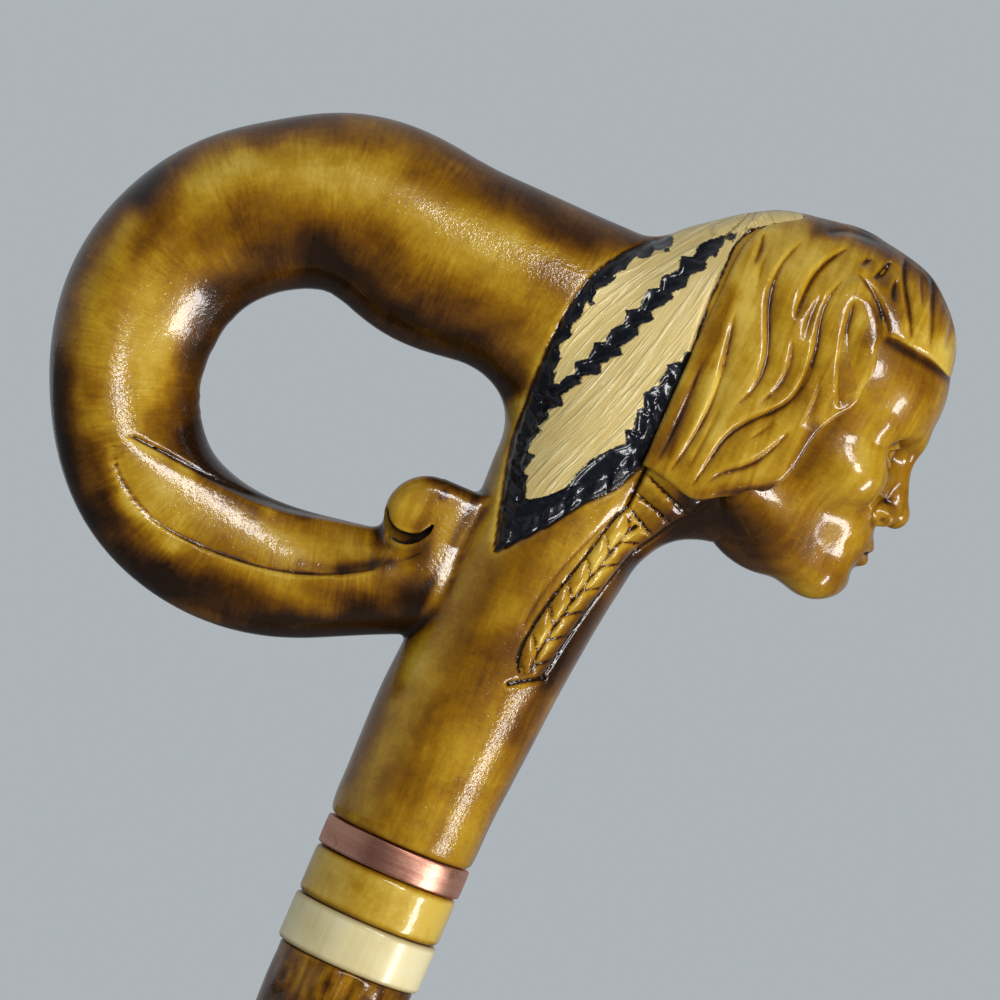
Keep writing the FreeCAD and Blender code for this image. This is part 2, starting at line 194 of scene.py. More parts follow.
def carve(field, xs, ys, zs):
    # skin of a field: one point in every cell of the grid that the skin crosses, at the mean of the
    # crossings on the cell's edges, then moved on to the skin by field times slope over slope squared
    values = field(xs[:, None, None], ys[None, :, None], zs[None, None, :])
    axes, cells = (xs, ys, zs), np.array(values.shape) - 1
    total, count, faces = np.zeros((cells.prod(), 3)), np.zeros(cells.prod()), []
    for axis in range(3):
        lower = values[tuple(slice(None, -1) if k == axis else slice(None) for k in range(3))]
        upper = values[tuple(slice(1, None) if k == axis else slice(None) for k in range(3))]
        at = np.argwhere((lower < 0) != (upper < 0))
        low, high = lower[tuple(at.T)], upper[tuple(at.T)]
        spot = np.stack([axes[k][at[:, k]] for k in range(3)], 1)
        spot[:, axis] += low / (low - high) * (axes[axis][at[:, axis] + 1] - axes[axis][at[:, axis]])
        others, corners = [k for k in range(3) if k != axis], []
        for back in ((0, 0), (-1, 0), (-1, -1), (0, -1)):
            cell = at.copy()
            cell[:, others[0]] += back[0]
            cell[:, others[1]] += back[1]
            index = (cell[:, 0] * cells[1] + cell[:, 1]) * cells[2] + cell[:, 2]
            corners.append(index)
            count += np.bincount(index, minlength=len(count))
            for k in range(3):
                total[:, k] += np.bincount(index, spot[:, k], minlength=len(count))
        quads = np.stack(corners, 1)
        turn = (low < 0) if axis != 1 else (low >= 0)
        faces.append(np.where(turn[:, None], quads, quads[:, ::-1]))
    used = np.flatnonzero(count)
    number = np.full(len(count), -1)
    number[used] = np.arange(len(used))
    points = total[used] / count[used][:, None]
    step, leastSlope, furthest = 0.12, 0.2, 0.6
    for again in range(2):
        x, y, z = points.T
        here = field(x, y, z)[:, None]
        ahead = np.stack([field(x + step, y, z), field(x, y + step, z), field(x, y, z + step)], 1)
        slope = (ahead - here) / step
        move = here * slope / np.maximum((slope ** 2).sum(1), leastSlope)[:, None]
        reach = np.maximum(np.linalg.norm(move, axis=1) / furthest, 1)
        points = points - move / reach[:, None]
    return points, number[np.concatenate(faces)]


def edgesOf(faces):
    # the four edges of every face, each in its face's own direction
    return np.concatenate([faces[:, [0, 1]], faces[:, [1, 2]], faces[:, [2, 3]], faces[:, [3, 0]]])


def hollows(points, faces, rounds):
    # how far each point lies under its surroundings, in mm: the points are averaged with their neighbours
    # again and again, and the shift is taken along the direction that each point faces
    edges = np.unique(np.sort(edgesOf(faces), axis=1), axis=0)
    one, two = edges[edges[:, 0] != edges[:, 1]].T
    count = np.bincount(one, minlength=len(points)) + np.bincount(two, minlength=len(points))
    soft = points.copy()
    for again in range(rounds):
        around = np.stack([np.bincount(one, soft[two, k], minlength=len(points))
                           + np.bincount(two, soft[one, k], minlength=len(points)) for k in range(3)], 1)
        soft = 0.4 * soft + 0.6 * around / np.maximum(count, 1)[:, None]
    return ((soft - points) * outward(points, faces)).sum(1)


def outward(points, faces):
    # direction that each point faces, from the faces round it
    across = np.cross(points[faces[:, 2]] - points[faces[:, 0]], points[faces[:, 3]] - points[faces[:, 1]])
    total = np.stack([np.bincount(faces.ravel(), np.repeat(across[:, k], 4), minlength=len(points))
                      for k in range(3)], 1)
    return total / np.maximum(np.linalg.norm(total, axis=1), 1e-9)[:, None]


def makePiece(name, points, faces, body, material, marks=None, sharpAt=None, cap=()):
    # a mesh object from points in mm, with one smooth-shaded skin and its marks as attributes; a cap is flat
    mesh = bpy.data.meshes.new(name)
    corners, allFaces = (points + ringMiddle) / 1000, faces.tolist() + np.asarray(cap, int).tolist()
    mesh.from_pydata(corners.tolist(), [], allFaces)
    mesh.polygons.foreach_set("use_smooth", np.ones(len(mesh.polygons), bool))
    for mark, values in (marks or {}).items():
        mesh.attributes.new(mark, "FLOAT", "POINT").data.foreach_set("value", np.asarray(values, np.float32))
    if sharpAt or len(cap):
        mesh.set_sharp_from_angle(angle=math.radians(sharpAt or 60))
    mesh.materials.append(material)
    mesh.update()
    piece = bpy.data.objects.new(name, mesh)
    bpy.context.scene.collection.objects.link(piece)
    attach(piece, body)
    print(name, len(points), "points")
    return piece


def addNode(tree, kind, inputs={}, **settings):
    # a node with its settings; an input is a number, a colour or another node's output
    node = tree.nodes.new("ShaderNode" + kind)
    for name, value in settings.items():
        setattr(node, name, value)
    for name, value in inputs.items():
        if isinstance(value, bpy.types.NodeSocket):
            tree.links.new(value, node.inputs[name])
        else:
            node.inputs[name].default_value = value
    return node


def maths(tree, kind, a, b=0.0, c=0.0):
    return addNode(tree, "Math", {0: a, 1: b, 2: c}, operation=kind).outputs[0]


def plus(tree, a, b):
    return maths(tree, "ADD", a, b)


def times(tree, a, b):
    return maths(tree, "MULTIPLY", a, b)


def timesPlus(tree, a, b, c):
    # a times b, plus c
    return maths(tree, "MULTIPLY_ADD", a, b, c)


def spread(tree, value, low, high, toLow=0.0, toHigh=1.0):
    # a value moved from one range to another and kept inside it
    return addNode(tree, "MapRange", {0: value, 1: low, 2: high, 3: toLow, 4: toHigh}, clamp=True).outputs[0]


def mixColour(tree, share, a, b):
    return addNode(tree, "Mix", {0: share, 6: a, 7: b}, data_type="RGBA").outputs[2]


def rampColour(tree, value, stops):
    node = addNode(tree, "ValToRGB", {0: value})
    marks = node.color_ramp.elements
    while len(marks) < len(stops):
        marks.new(0.5)
    for mark, (place, colour) in zip(marks, stops):
        mark.position, mark.color = place, (*colour, 1)
    return node.outputs[0]


def noise(tree, vector, scale, detail=3.0, rough=0.5, twist=0.0):
    return addNode(tree, "TexNoise", {"Vector": vector, "Scale": scale, "Detail": detail,
                                      "Roughness": rough, "Distortion": twist}).outputs[0]


def objectPlace(tree, scale=None):
    place = addNode(tree, "TexCoord").outputs["Object"]
    if scale is None:
        return place
    return addNode(tree, "Mapping", {"Vector": place, "Scale": scale}).outputs[0]


def readMark(tree, name):
    return addNode(tree, "Attribute", attribute_name=name).outputs["Fac"]


def scaledPair(tree, first, second, firstScale, secondScale):
    # a place from two values, each times its own scale
    spots = {0: times(tree, first, firstScale), 1: times(tree, second, secondScale)}
    return addNode(tree, "CombineXYZ", spots).outputs[0]


def newGroup(name, inputs, outputs):
    # node group with float inputs (name: default) and named outputs
    tree = bpy.data.node_groups.new(name, "ShaderNodeTree")
    for label, default in inputs.items():
        socket = tree.interface.new_socket(label, in_out="INPUT", socket_type="NodeSocketFloat")
        socket.default_value = default
    for label, kind in outputs.items():
        tree.interface.new_socket(label, in_out="OUTPUT", socket_type="NodeSocket" + kind)
    return tree, tree.nodes.new("NodeGroupInput").outputs, tree.nodes.new("NodeGroupOutput").inputs


def useGroup(tree, group, inputs):
    return addNode(tree, "Group", inputs, node_tree=group).outputs


def newMaterial(name, **sockets):
    # a material with its Principled shader; plain values go on the shader's own sockets
    material = bpy.data.materials.new(name)
    material.use_nodes = True
    tree = material.node_tree
    shader = tree.nodes["Principled BSDF"]
    for label, value in sockets.items():
        shader.inputs[label].default_value = value
    return material, tree, shader


def bumpInto(tree, shader, height, distance):
    bump = addNode(tree, "Bump", {"Height": height, "Distance": distance})
    for normal in ("Normal", "Coat Normal"):
        tree.links.new(bump.outputs[0], shader.inputs[normal])


stainAndLightStops = (
    # tone of the stain, with the painted shade and light laid over it, and its colour, from pale gold to near black
    (0.0, (0.76, 0.52, 0.080)), (0.22, (0.53, 0.30, 0.014)), (0.42, (0.32, 0.142, 0.002)),
    (0.62, (0.16, 0.058, 0.001)), (0.82, (0.062, 0.020, 0.0007)), (1.0, (0.020, 0.007, 0.001)),
)


def stainAndLightGroup():
    # brushed stain over carved wood, with painted shade and light: the first input runs from 0, pale gold, to 1,
    # near black; Hollow and Wide, depths in mm, darken hollows as painted shade, and Hollow lightens crests; Along
    # and Around, in mm, lay fine bristle marks across the carved form and, by Grain, long streaks down it; Broken
    # crazes the varnish
    tree, given, out = newGroup("carvedStainAndLight",
                                {"StainAndLight": 0.3, "Hollow": 0.0, "Wide": 0.0, "Along": 0.0, "Around": 0.0,
                                 "Bristle": 1.0, "Grain": 0.3, "Broken": 0.0},
                                {"Colour": "Color", "Roughness": "Float", "Height": "Float"})
    place, course = objectPlace(tree), (given["Along"], given["Around"])
    mottle, blotch = noise(tree, place, 55, 4, 0.55, 0.5), noise(tree, place, 210, 4, 0.6, 0.4)
    fleck, dust = noise(tree, place, 1300, 2), spread(tree, noise(tree, place, 1700, 1), 0.64, 0.76)
    patch = spread(tree, noise(tree, place, 95, 2), 0.38, 0.62)
    bristle = noise(tree, scaledPair(tree, *course, 1.5, 0.2), 1, 3, 0.6, 0.6)
    grain = noise(tree, scaledPair(tree, *course, 0.04, 0.34), 1, 4, 0.62, 1.1)
    # what lightens or darkens the tone: a value, its range, and what its ends add; the Hollow and Wide rows darken
    # hollows as painted shade, and the last row lightens crests
    tone = given["StainAndLight"]
    for value, low, high, atLow, atHigh in (
            (mottle, 0.28, 0.72, -0.18, 0.18), (blotch, 0.28, 0.72, -0.06, 0.06),
            (fleck, 0.3, 0.7, -0.025, 0.025), (given["Wide"], 0.02, 0.6, 0.0, 0.32),
            (given["Hollow"], 0.012, 0.13, 0.0, 0.5), (given["Hollow"], -0.01, -0.09, 0.0, -0.12)):
        tone = plus(tree, tone, spread(tree, value, low, high, atLow, atHigh))
    bristleShare = times(tree, given["Bristle"], spread(tree, patch, 0, 1, 0.35, 1.0))
    tone = timesPlus(tree, spread(tree, bristle, 0.25, 0.75, -0.1, 0.1), bristleShare, tone)
    tone = timesPlus(tree, spread(tree, grain, 0.25, 0.75, -0.22, 0.22), given["Grain"], tone)
    tree.links.new(rampColour(tree, tone, stainAndLightStops), out["Colour"])
    gloss = spread(tree, blotch, 0.3, 0.7, 0.22, 0.34)
    tree.links.new(timesPlus(tree, dust, 0.2, gloss), out["Roughness"])
    crazing = plus(tree, spread(tree, patch, 0, 1, 0.12, 0.4), given["Broken"])
    crackle = times(tree, noise(tree, place, 1500, 2, 0.6), crazing)
    peel = timesPlus(tree, noise(tree, place, 460, 2, 0.5), 0.5, crackle)
    height = timesPlus(tree, bristle, times(tree, given["Bristle"], 0.1), peel)
    tree.links.new(timesPlus(tree, dust, 0.18, height), out["Height"])
    return tree


carvedStainAndLight = stainAndLightGroup()


def varnished(name, bristle=1.0, grain=0.4, bump=0.0001):
    # stained wood under gloss varnish, with painted shade in its hollows, by the piece's marks; bristle and grain
    # are shares or names of marks
    material, tree, shader = newMaterial(name, **{"Coat Weight": 0.85, "Coat Roughness": 0.07,
                                                  "Coat IOR": 1.5, "Specular IOR Level": 0.25})
    labels = ("StainAndLight", "Hollow", "Wide", "Along", "Around", "Broken")
    given = {label: readMark(tree, label.lower()) for label in labels}
    for label, value in (("Bristle", bristle), ("Grain", grain)):
        given[label] = readMark(tree, value) if isinstance(value, str) else value
    stainandlight = useGroup(tree, carvedStainAndLight, given)
    tree.links.new(stainandlight["Colour"], shader.inputs["Base Color"])
    tree.links.new(stainandlight["Roughness"], shader.inputs["Roughness"])
    bumpInto(tree, shader, stainandlight["Height"], bump)
    return material, tree, shader, stainandlight


vaneStops = ((0.26, (0.56, 0.35, 0.09)), (0.4, (0.80, 0.58, 0.20)), (0.54, (0.90, 0.71, 0.29)),
             (0.72, (0.96, 0.81, 0.42)))
sootStops = ((0.3, (0.003, 0.004, 0.007)), (0.6, (0.008, 0.010, 0.016)), (0.8, (0.035, 0.037, 0.045)))


def featheredWood():
    # the same varnished wood with the feathers: bare pale vanes with fine fibres, and glossy black burnt edges
    material, tree, shader, stainandlight = varnished("varnishedWood", "crosswise", "lengthwise")
    panel, pale, fibre, along = (readMark(tree, mark) for mark in ("panel", "pale", "fibre", "fibreAlong"))
    ragged = noise(tree, objectPlace(tree), 900, 4, 0.65)
    fine = noise(tree, scaledPair(tree, fibre, along, 3.4, 0.16), 1, 4, 0.7, 0.25)
    ribs = noise(tree, scaledPair(tree, fibre, along, 1.15, 0.075), 1, 2, 0.5, 0.4)
    onPanel = spread(tree, timesPlus(tree, ragged, 0.5, panel), 0.42, 0.2)
    edge = timesPlus(tree, ragged, 1.5, timesPlus(tree, fine, 0.7, pale))
    onPale = times(tree, spread(tree, edge, 1.22, 1.0), onPanel)
    vane = rampColour(tree, timesPlus(tree, ribs, 0.45, times(tree, fine, 0.55)), vaneStops)
    colour = mixColour(tree, onPanel, stainandlight["Colour"], rampColour(tree, ragged, sootStops))
    tree.links.new(mixColour(tree, onPale, colour, vane), shader.inputs["Base Color"])
    tree.links.new(timesPlus(tree, onPale, 0.1, stainandlight["Roughness"]), shader.inputs["Roughness"])
    raised = timesPlus(tree, spread(tree, ribs, 0.5, 0.66), 2.4, times(tree, fine, 1.6))
    bumpInto(tree, shader, timesPlus(tree, raised, onPale, stainandlight["Height"]), 0.0001)
    return material


woodMaterial = featheredWood()
hairMaterial = varnished("varnishedHair", bristle=0.25, grain=0.65)[0]
faceMaterial = varnished("varnishedFace", bristle=0.3, grain=0.4, bump=0.00006)[0]
collarMaterial = varnished("varnishedCollar", bristle=0.4, grain=0.3)[0]


loopSettings = {
    # middle line from inside the neck round to the scroll: x, z, half depth, half width,
    # how far the crest lies outside the middle, and how boxy the section is (2 for an ellipse)
    "path": ((3, 106.2, 19.2, 14.0, 0, 2), (-12, 107, 18.5, 14.5, 0, 2), (-25, 107.9, 17.8, 14.5, 0, 2),
             (-32, 107.6, 18.3, 14.5, 0, 2), (-38, 107.75, 18.55, 14.5, 0, 2), (-45, 109.1, 18.1, 14.5, 0, 2),
             (-56, 109, 17.15, 14.5, 0, 2), (-66, 104.7, 16.06, 14.35, 0.4, 2), (-74, 98.8, 15.9, 14.35, 1.6, 2),
             (-80, 90.85, 15.7, 14.2, 4.2, 2), (-83.75, 77, 15.4, 14.05, 6.0, 2), (-82.7, 66.4, 14.6, 13.8, 5.6, 2),
             (-79.75, 58.35, 14.04, 13.5, 5.4, 2.05), (-74.7, 50.45, 13.8, 13.2, 4.2, 2.2),
             (-68.6, 44.95, 13.64, 12.9, 2.4, 2.45), (-59, 40.85, 13.45, 12.5, 0.8, 2.7),
             (-50, 39.7, 13.1, 12.0, 0, 2.8), (-40.5, 40.7, 12.4, 11.6, 0, 2.7), (-32, 43.1, 11.3, 11.2, 0, 2.5),
             (-23, 46.1, 10, 10.7, 0, 2.3), (-12, 50, 9, 10.1, 0, 2.1), (-4, 53, 8, 9.4, 0, 2)),
    "upperRidge": ((-78, 52.8), (-74, 52.4), (-70, 52), (-60, 50.8), (-50, 50.6), (-45, 51), (-36, 53), (-27, 55.2),
                   (-21, 57)),
    "lowerRidge": ((-78, 52.8), (-77.4, 49.5), (-76, 47), (-72, 43.2), (-65, 40.3), (-57, 39.4), (-50, 39.6),
                   (-40, 41), (-32, 43.8), (-25, 47.8), (-20.5, 51.5)),
    # a step under the facet that grows forwards, a groove under its upper ridge, and how full it is;
    # the wall under the step, how the facet runs out at its end, and mm between the line's points
    "step": (0.4, 0.7), "stepPlaces": (-74, -48), "groove": 0.55, "groovePlace": 1.0, "grooveWidth": 0.65,
    "fullness": 0.6, "wall": 2.2, "fade": 8, "lift": 3, "arris": 0.22, "spacing": 0.7,
}
loopLine = curveThrough(loopSettings["path"], loopSettings["spacing"])


def facetPlaces():
    # both ridges of the carved facet, as offsets from the loop's middle line against the place along it
    tables = []
    for ridge in (loopSettings["upperRidge"], loopSettings["lowerRidge"]):
        line = curveThrough(ridge, 0.5)
        distance, side, place = nearestOn(line[:, 0], line[:, 1], loopLine)
        order = np.argsort(place)
        tables.append((place[order], (distance * side)[order]))
    return tables


ridgeTables = facetPlaces()
facetStart, facetEnd = ridgeTables[1][0][0], ridgeTables[1][0][-1]


def loopField(x, y, z):
    # ovals square to the middle line, with their crest moved outwards; on each flank a slightly full facet
    # runs from its upper ridge, under a shallow groove, down to a small step at the lower one
    s = loopSettings
    distance, side, place = nearestOn(x, z, loopLine)
    index = np.arange(len(loopLine))
    depth, width, crest, power = (np.interp(place, index, loopLine[:, k]) for k in (2, 3, 4, 5))

    def bent(share):
        return share + crest / depth * np.maximum(1 - share ** 2, 0)

    offset = distance * side
    body = boxyField(bent(offset / depth) * depth, y, depth, width, power)
    upper, lower = (np.clip(np.interp(place, *table) / depth, -0.995, 0.995) for table in ridgeTables)
    upperY, lowerY = (width * np.maximum(1 - np.abs(bent(edge)) ** power, 0) ** (1 / power)
                      for edge in (upper, lower))
    share, wide = (offset / depth - upper) / np.minimum(lower - upper, -0.02), ease(0, 0.6, upper - lower)
    across, beyond = np.clip(share, 0, 1), np.clip(lower - offset / depth, 0, 0.5) * depth
    step = s["step"][0] + (s["step"][1] - s["step"][0]) * ease(*s["stepPlaces"], x)
    skin = (upperY + (lowerY - step * wide - upperY) * np.clip(share, -0.6, 1)
            + s["fullness"] * wide * 4 * across * (1 - across) + s["wall"] * beyond)
    shown = ease(facetStart, facetStart + 3, place) * ease(facetEnd, facetEnd - s["fade"], place)
    belowRidge = (offset / depth - upper) * depth
    groove = s["groove"] * shown * np.exp(-((belowRidge - s["groovePlace"]) / s["grooveWidth"]) ** 2)
    flank = np.abs(y) - skin - s["lift"] * (1 - shown)
    return cutBy(body, flank, s["arris"]) + groove * ease(1, 4, np.abs(y))


scrollSettings = {
    "middle": (-19.2, 60.6), "radius": 8.0, "halfWidth": 10.4, "ease": 2.8,
    "rootX": (-19.2, -8), "rootZ": (50, 68.75), "dome": 0.014, "domeMiddle": (-21, 60), "domeMost": 2,
    # column of the root: its flanks widen below a height, and open by an amount between two places
    "columnMiddle": -20.4, "columnRadius": 16.0, "flare": 0.14, "flareTop": 58,
    "openAbove": (20, 72, 80), "openBehind": (8, 0, -5),
    # slot round the eye: turns in degrees from straight ahead, clockwise
    "slotMiddle": (-22.6, 60.6), "slotRadius": 5.0, "slotHalf": 0.6, "slotDepth": 4.2, "slotEnds": (-6, 158),
    "slotTaper": 0.09, "slotStart": (-8, 30), "slotSwell": 0.9, "slotSwellTurns": (35, 75),
}


def scrollField(x, y, z):
    # a disc and its root, drawn in the side view and made thick, with eased edges
    s = scrollSettings
    disc = np.hypot(x - s["middle"][0], z - s["middle"][1]) - s["radius"]
    dx = np.abs(x - sum(s["rootX"]) / 2) - (s["rootX"][1] - s["rootX"][0]) / 2
    dz = np.abs(z - sum(s["rootZ"]) / 2) - (s["rootZ"][1] - s["rootZ"][0]) / 2
    root = np.minimum(np.maximum(dx, dz), 0) + np.hypot(np.maximum(dx, 0), np.maximum(dz, 0))
    flat = np.minimum(disc, root) + s["ease"]
    fall = s["dome"] * ((x - s["domeMiddle"][0]) ** 2 + (z - s["domeMiddle"][1]) ** 2)
    thick = np.abs(y) - s["halfWidth"] + s["ease"] + np.minimum(fall, s["domeMost"])
    return np.minimum(np.maximum(flat, thick), 0) + np.hypot(np.maximum(flat, 0), np.maximum(thick, 0)) - s["ease"]


def roundedRoot(x, y, z):
    # towards the neck the curl's flanks fall away like a column's, which leaves a crease at the neck
    s = scrollSettings
    off = x - s["columnMiddle"]
    share = np.clip(off / s["columnRadius"], 0, 0.96)
    (above, *aboveEnds), (behind, *behindEnds) = s["openAbove"], s["openBehind"]
    wider = (s["flare"] * np.maximum(s["flareTop"] - z, 0) + above * ease(*aboveEnds, z)
             + behind * ease(*behindEnds, off))
    return np.abs(y) - s["halfWidth"] * np.sqrt(1 - share ** 2) - wider


def slotField(x, y, z):
    # the curved groove round the scroll's eye on both flanks: an arc of even width that thins out at its upper end
    s = scrollSettings
    dx, dz = x - s["slotMiddle"][0], z - s["slotMiddle"][1]
    turn = np.degrees(np.arctan2(-dz, dx))
    turn = np.where(turn < -90, turn + 360, turn)
    swell = 1 + s["slotSwell"] * ease(*s["slotSwellTurns"], turn)
    half = s["slotHalf"] * ease(*s["slotStart"], turn) * swell
    first, last = s["slotEnds"]
    beyond = (np.maximum(turn - last, 0) + np.maximum(first - turn, 0)) * s["slotTaper"]
    ring = np.hypot(np.hypot(dx, dz) - s["slotRadius"], beyond) - half
    return np.maximum(ring, s["halfWidth"] - s["slotDepth"] - np.abs(y))


neckSettings = {
    # height, back edge, front edge, half width
    "rows": ((2.6, -13.9, 13.9, 13.9), (4, -14.3, 14.1, 14.15), (10, -14.7, 14.35, 14.4), (20, -14.85, 15.0, 14.6),
             (30, -14.8, 15.8, 14.7), (38, -14.3, 16.4, 14.7), (47, -13.8, 17.3, 14.7), (53, -13.4, 18.0, 14.7),
             (60, -13.0, 19.0, 14.7), (68, -12.1, 20.2, 14.8), (75, -12.2, 20.8, 15.0), (82, -12.2, 22, 15.4),
             (92, -12.2, 26, 15.9), (102, -12, 32, 16.3), (112, -10, 36, 16.4), (120, -5.5, 40, 16.3),
             (126.5, 0.8, 43, 15.6), (129.5, 3.8, 44, 14.7), (132.5, 7.8, 44, 13.2), (135.5, 11.8, 43, 11.2),
             (138.5, 16.2, 40, 8.0), (140.4, 20.5, 36, 4.8), (141.4, 25, 32, 2.0)),
    "foot": 2.95, "footEase": 1.3, "top": 141.3,
}
neckTable = tableOf(neckSettings["rows"])


def neckField(x, y, z):
    # level ellipses, eased at the foot
    back, front, width = (np.interp(z, neckTable[0], neckTable[1][:, k]) for k in range(3))
    low = neckSettings["footEase"]
    shrink = low - np.sqrt(np.maximum(low ** 2 - np.clip(neckSettings["foot"] + low - z, 0, low) ** 2, 0))
    side = ovalField(x - (back + front) / 2, y, (front - back) / 2 - shrink, width - shrink)
    return np.maximum(np.maximum(side, neckSettings["foot"] - z), z - neckSettings["top"])


featherSettings = {
    # both feathers' common outline from the tip up the back edge and down the front edge, from the side
    "back": ((-5, 60.3), (-7.5, 69), (-9, 75), (-10, 80), (-10.4, 86), (-10.7, 92), (-10.6, 100), (-9.9, 108),
             (-8.2, 114.5), (-5.2, 119.6), (-1.8, 123.7), (0.6, 126.3), (3.4, 129.6), (7, 132.8), (11, 136.4)),
    "front": ((16.4, 138.4), (13.6, 131), (13.0, 126), (12.9, 120), (13.2, 112), (13.8, 105), (13.9, 100),
              (14.1, 93), (13.8, 88), (12.6, 83.6), (10.4, 79.4), (7, 75.6), (3.8, 71.2), (-0.4, 65.6)),
    # pale vane of each, inside its burnt edge
    "rearPale": ((-7.6, 92.3), (-6.3, 93.2), (-4.4, 97), (-2.4, 102.5), (0.2, 108.5), (2.8, 115.6), (5.6, 122),
                 (8.6, 128.2), (11.6, 132.8), (14.5, 142), (5, 140), (-0.4, 127.6), (2.0, 126.2), (-2, 121),
                 (-5, 116), (-7.4, 110), (-8.5, 104), (-8.9, 98)),
    "frontPale": ((-3.4, 71), (-2, 71.3), (1.2, 74), (3.3, 79), (6.4, 84), (9.2, 89), (9.4, 95), (10.6, 101),
                  (12.6, 106), (15.5, 112), (16, 118), (16.5, 126), (18, 134), (18, 141), (14, 137.5), (12.8, 133),
                  (11, 129), (9.2, 124), (6.3, 117), (3.8, 111), (1.5, 104), (-1, 99), (-3.5, 95), (-5.5, 90),
                  (-6.9, 84), (-6.5, 78), (-5.2, 74)),
    "axis": ((-5, 60.5), (-6.4, 68), (-8.6, 78), (-9.2, 87), (-6, 92.6), (-3.9, 96.6), (-1.5, 101), (0.5, 105),
             (2.1, 110), (4.5, 115.6), (6.6, 120), (9.1, 125), (10.6, 129), (12.9, 132.6), (17, 138)),
    # the course of the fibres in each vane
    "rearFibre": ((-7.5, 84), (-7.0, 92), (-5.4, 100), (-2.2, 109), (2.4, 117.5), (7.6, 125.5), (13.5, 132.5),
                  (20, 138.5)),
    "frontFibre": ((-5.4, 62), (-3.6, 72), (-0.4, 81), (3.4, 90), (6.8, 100), (9.8, 110), (12.2, 121), (14.2, 134)),
    "rise": 0.8, "tooth": 4.6, "toothDepth": 1.15, "toothMiddle": 0.42, "rimWidth": -2.6,
    "jag": 1.7, "burn": 0.5, "rim": 0.55,
    # the two quills' common end and its bindings
    "quill": ((9.5, 131.3), (12.5, 133.7), (16, 136.4), (19, 138.4), (22, 139.9)),
    "quillRadius": 1.35, "quillRise": 1.0, "bindingRise": 0.45,
    "bindings": (((12.6, 136.6), (15.8, 132.2)), ((16.6, 139.4), (19.6, 136.2))),
}
braidSettings = {
    # middle line from the top down, with its half width; the first part is bound with wraps
    "line": ((21.2, 86.5, 6.6), (20.4, 83.6, 6.1), (18.9, 79.6, 4.7), (17.7, 76.0, 3.7), (16.4, 73.5, 3.4),
             (15, 69.5, 3.1), (13.4, 63.5, 3.0), (11.8, 57.5, 3.1), (10.4, 51, 3.15), (9.7, 46, 3.0),
             (9.6, 42.3, 2.2), (9.6, 40.6, 1.2)),
    "wrapStart": 0.8, "wrapsEnd": 12.2, "wrap": 3.5, "strand": 5.6, "lean": 2.9, "rise": 1.5, "rim": 0.36,
    "endCut": ((7.0, 38.6), (9.5, 40.2), (12.4, 41.9)), "endDepth": 0.9, "sideDepth": 0.22,
    "sideCut": ((13.2, 77.6), (10.5, 70), (7.6, 62), (5.8, 55), (5.2, 47.5)),
}


fineStep = 0.3  # mm between the points of the drawn lines


def outlineOf(*parts):
    corners = sum((tuple(part) for part in parts), ())
    return curveThrough(corners + corners[:1], fineStep)


featherLoop = outlineOf(featherSettings["back"], featherSettings["front"])
paleLoops = [outlineOf(featherSettings[name]) for name in ("rearPale", "frontPale")]
braidLine = curveThrough(braidSettings["line"], fineStep)
featherAxis, quillLine, *fibreLines = (curveThrough(featherSettings[name], fineStep)
                                       for name in ("axis", "quill", "rearFibre", "frontFibre"))


def teeth(along):
    # uneven saw teeth along a line: 0 in a notch, up to 1 at a point
    run = along / featherSettings["tooth"] + 0.1 * np.sin(along * 0.83) + 0.03 * np.sin(along * 2.1 + 1)
    share, size = run - np.floor(run), 0.78 + 0.22 * np.sin(np.floor(run) * 2.4)
    return np.where(share < 0.7, share / 0.7, (1 - share) / 0.3) * size


def featherEdges(x, z):
    # distance to the feathers' outline and to the pale vanes, whose edge runs in and out with the teeth;
    # the teeth; distance to the quills' end
    f = featherSettings
    whole, along = within(x, z, featherLoop)
    gap, side, place = nearestOn(x, z, featherAxis)
    onRim = whole > f["rimWidth"]
    tooth = teeth(np.where(onRim, along * fineStep - 0.9 * whole, place * fineStep + 0.5 * gap * side))
    pale = np.minimum(*(within(x, z, loop)[0] for loop in paleLoops))
    quill = nearestOn(x, z, quillLine)[0] - f["quillRadius"]
    return whole, pale + f["jag"] * (tooth - f["toothMiddle"]) + f["burn"], tooth, quill


def fibreCourse(x, z):
    # place across and along the fibres of the vane that is nearer
    rear, front = (within(x, z, loop)[0] for loop in paleLoops)
    rows = []
    for line, start in zip(fibreLines, (0, 40)):
        gap, side, along = nearestOn(x, z, line)
        rows.append((gap * side + start, along * fineStep))
    return tuple(np.where(rear < front, one, two) for one, two in zip(*rows))


def featherRelief(x, z):
    # vanes stand up, the burnt edges are cut down in slanting facets, and a groove frees the whole; the
    # quills are a raised rod with bindings
    f = featherSettings
    whole, pale, tooth, quill = featherEdges(x, z)
    vane, inside = ease(0.3, -0.7, pale), ease(0.25, -0.4, whole)
    burnt = f["rise"] + 0.1 - f["toothDepth"] * (1 - tooth) * ease(0, 1.0, pale)
    rod = f["quillRise"] * np.sqrt(np.clip(1 - ((quill + f["quillRadius"]) / f["quillRadius"]) ** 2, 0, 1))
    bands = sum(np.exp(-(nearestOn(x, z, curveThrough(ends))[0] / 0.5) ** 2) for ends in f["bindings"])
    return (inside * (f["rise"] * vane + burnt * (1 - vane)) + rod + f["bindingRise"] * bands * (quill < 0.5)
            - f["rim"] * np.exp(-((whole - 0.1) / 0.5) ** 2) * (quill > 0.3))


